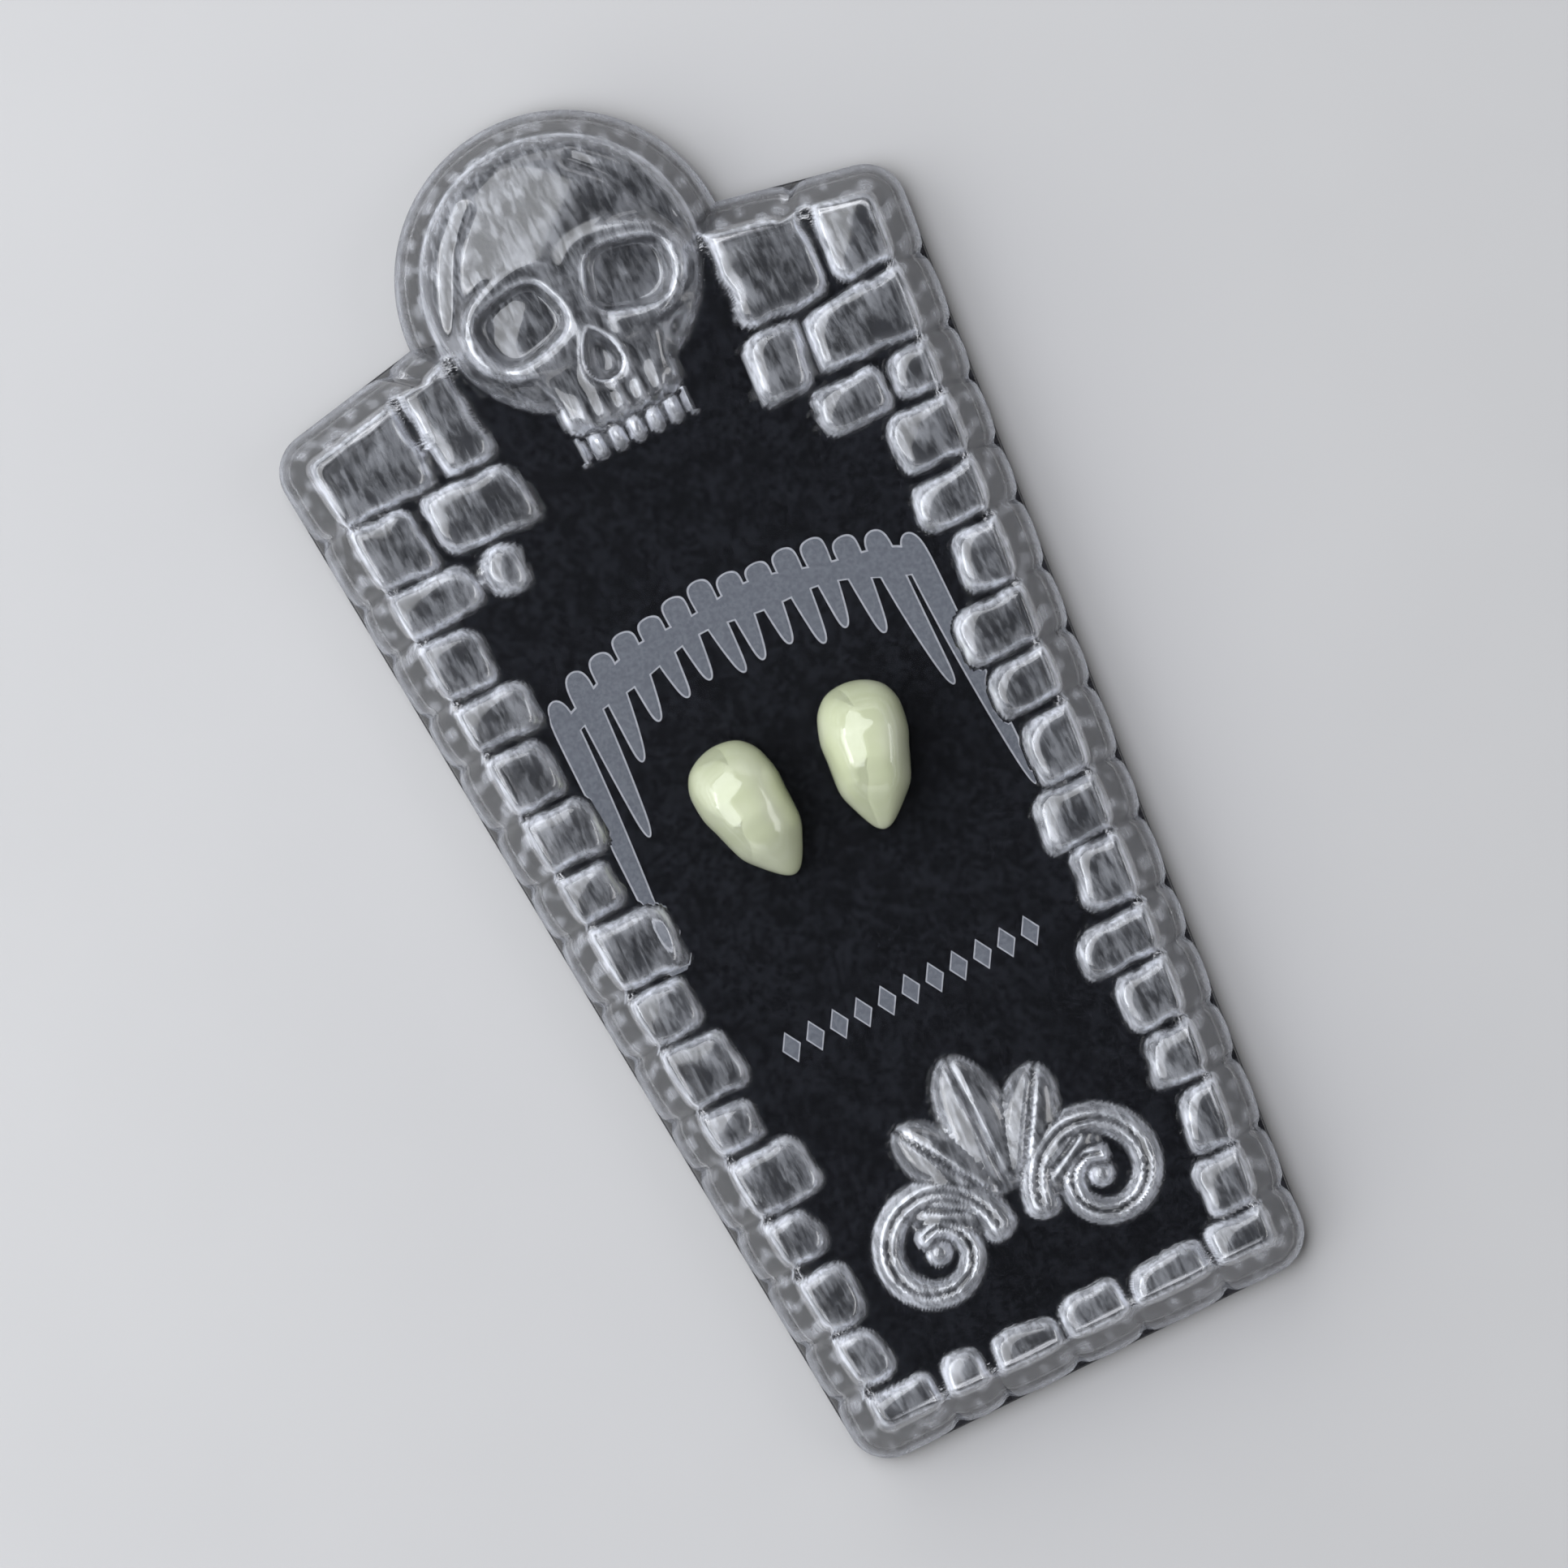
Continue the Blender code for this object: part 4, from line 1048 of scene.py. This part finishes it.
def print_slabs(grow, low, high):
    """Every drip and lozenge, and the bar that the drips hang from, grown by a margin."""
    chance = np.random.default_rng(8)
    t = (1 - np.cos(np.linspace(0, math.pi, 33))) / 2
    slabs = []
    for place in np.linspace(-1, 1, DRIP_COUNT):
        top = INK_TOP - INK_DROP * place ** 2 + 0.6 * MM * chance.uniform(-1, 1) + grow
        length = (9.2 + 14.0 * abs(place) ** 5) * MM * chance.uniform(0.82, 1.15) + 2 * grow
        ends = np.sqrt(np.clip(1 - (2 * t - 1) ** 12, 0, 1))
        half = (DRIP_HALF * (0.26 + 0.74 * (1 - t ** 1.7)) + grow) * ends
        lean = 0.06 * length * chance.uniform(-1, 1) * t ** 2
        slabs.append(slab(INK_SPAN * place + lean, top - length * t, half, 0, low, high))
    place = np.linspace(-1, 1, 61)
    edge = np.sqrt(np.clip(1 - place ** 30, 0, 1))
    middle = INK_TOP - INK_DROP * place ** 2 - BAR_DROP
    half = (BAR_HALF + BAR_WAVE * np.sin(9 * place) + grow) * edge
    x = (INK_SPAN + 0.5 * MM + grow) * place
    slabs.append(slab(x, middle, 0, half, low - 0.002 * MM, high - 0.006 * MM))
    for k in range(LOZENGE_COUNT):
        x = np.full(5, (k - (LOZENGE_COUNT - 1) / 2) * LOZENGE_PITCH)
        y = LOZENGE_Y + np.linspace(-1, 1, 5) * (LOZENGE_HALF_HEIGHT + 1.4 * grow)
        half = np.array((0, 0.5, 1, 0.5, 0)) * (LOZENGE_HALF_WIDTH + grow)
        slabs.append(slab(x, y, half, 0, low, high))
    return slabs


def ink_finish(name, dark, light):
    """Screen ink with faint pinholes."""
    ink = Finish(name)
    grain = ink.noise(ink.place(), 2600.0, 4.0, 0.7)
    colour = ink.blend(ink.span(grain, 0.35, 0.65), dark, light)
    rough = ink.span(grain, 0.3, 0.7, 0.45, 0.65)
    return ink.done(ink.principled(Base_Color=colour, Roughness=rough, IOR=1.45))


def lay_print(name, grow, low, high, finish):
    """One piece from all the slabs."""
    slabs = print_slabs(grow, low, high)
    starts = np.cumsum([0] + [shape.shape[0] * 4 for shape in slabs])
    faces = np.concatenate([grid_faces(shape.shape[0], 4, around=True) + start
                            for shape, start in zip(slabs, starts)])
    points = np.concatenate([shape.reshape(-1, 3) for shape in slabs])
    return make_piece(name, points, faces, finish, "black_card")


lay_print("card_print_edge", OUTLINE, CARD_TOP - 0.01 * MM, CARD_TOP + 0.015 * MM,
          ink_finish("pale_ink", (0.34, 0.35, 0.38), (0.46, 0.47, 0.50)))
lay_print("card_print", 0.0, CARD_TOP - 0.005 * MM, CARD_TOP + 0.03 * MM,
          ink_finish("grey_ink", (0.10, 0.11, 0.13), (0.15, 0.16, 0.185)))

# %% [markdown]
# ## Floor and light
#
# The floor is a plain pale sheet. Clear plastic shows what it mirrors and bends, and its painted
# highlight, so the sky above the case is left dark, which keeps the window black, and bright soft
# boxes stand low around it, which brighten the white rims on top of their painted highlight. One
# large box stands higher on the left: its image is the bright patch on each cap.

# %% Floor and light
def floor_finish():
    """Pale matt paper."""
    paper = Finish("floor_paper")
    clouds = paper.noise(paper.place(), 30.0, 3.0)
    colour = paper.blend(clouds, (0.44, 0.44, 0.45), (0.47, 0.47, 0.48))
    return paper.done(paper.principled(Base_Color=colour, Roughness=0.9, IOR=1.2))


floor_mesh = bpy.data.meshes.new("floor")
floor_mesh.from_pydata([(-2, -2, 0), (2, -2, 0), (2, 2, 0), (-2, 2, 0)], [], [(0, 1, 2, 3)])
floor_mesh.materials.append(floor_finish())
floor = bpy.data.objects.new("floor", floor_mesh)
bpy.context.scene.collection.objects.link(floor)


def soft_box(name, round_from_up, elevation, distance, width, height, brightness, colour=(1, 1, 1)):
    """A lamp like a lit window, aimed at the case; brightness is what a mirror would show."""
    turn, lift = math.radians(round_from_up), math.radians(elevation)
    flat = math.cos(turn) * PICTURE_UP + math.sin(turn) * PICTURE_RIGHT
    away = math.cos(lift) * flat + math.sin(lift) * np.array((0, 0, 1.0))
    data = bpy.data.lights.new(name, "AREA")
    data.shape, data.size, data.size_y = "RECTANGLE", width, height
    data.energy = brightness * math.pi * width * height
    data.color = colour
    lamp = bpy.data.objects.new(name, data)
    lamp.location = Vector(away * distance)
    lamp.rotation_euler = Vector(-away).to_track_quat("-Z", "Y").to_euler()
    bpy.context.scene.collection.objects.link(lamp)


# turn from the picture's top, elevation in degrees, distance, width and height in metres
soft_box("box_key", -80, 52, 0.75, 1.80, 0.80, 3.4, (0.97, 0.985, 1.0))
soft_box("box_left", -95, 24, 0.70, 0.70, 0.20, 4.2, (0.97, 0.98, 1.0))
soft_box("box_head", -5, 18, 0.70, 0.70, 0.16, 1.3)
soft_box("box_right", 88, 22, 0.70, 0.70, 0.20, 3.6, (1.0, 0.99, 0.98))
soft_box("box_foot", 178, 18, 0.70, 0.70, 0.16, 1.3)
world = bpy.data.worlds.new("room")
world.use_nodes = True
world.node_tree.nodes["Background"].inputs["Color"].default_value = (0.03, 0.03, 0.032, 1.0)
bpy.context.scene.world = world
scene = bpy.context.scene
scene.view_settings.view_transform = "Standard"
scene.cycles.max_bounces, scene.cycles.transmission_bounces = 12, 8
scene.cycles.glossy_bounces, scene.cycles.transparent_max_bounces = 5, 12
scene.cycles.caustics_reflective = scene.cycles.caustics_refractive = False
print("stage ready")
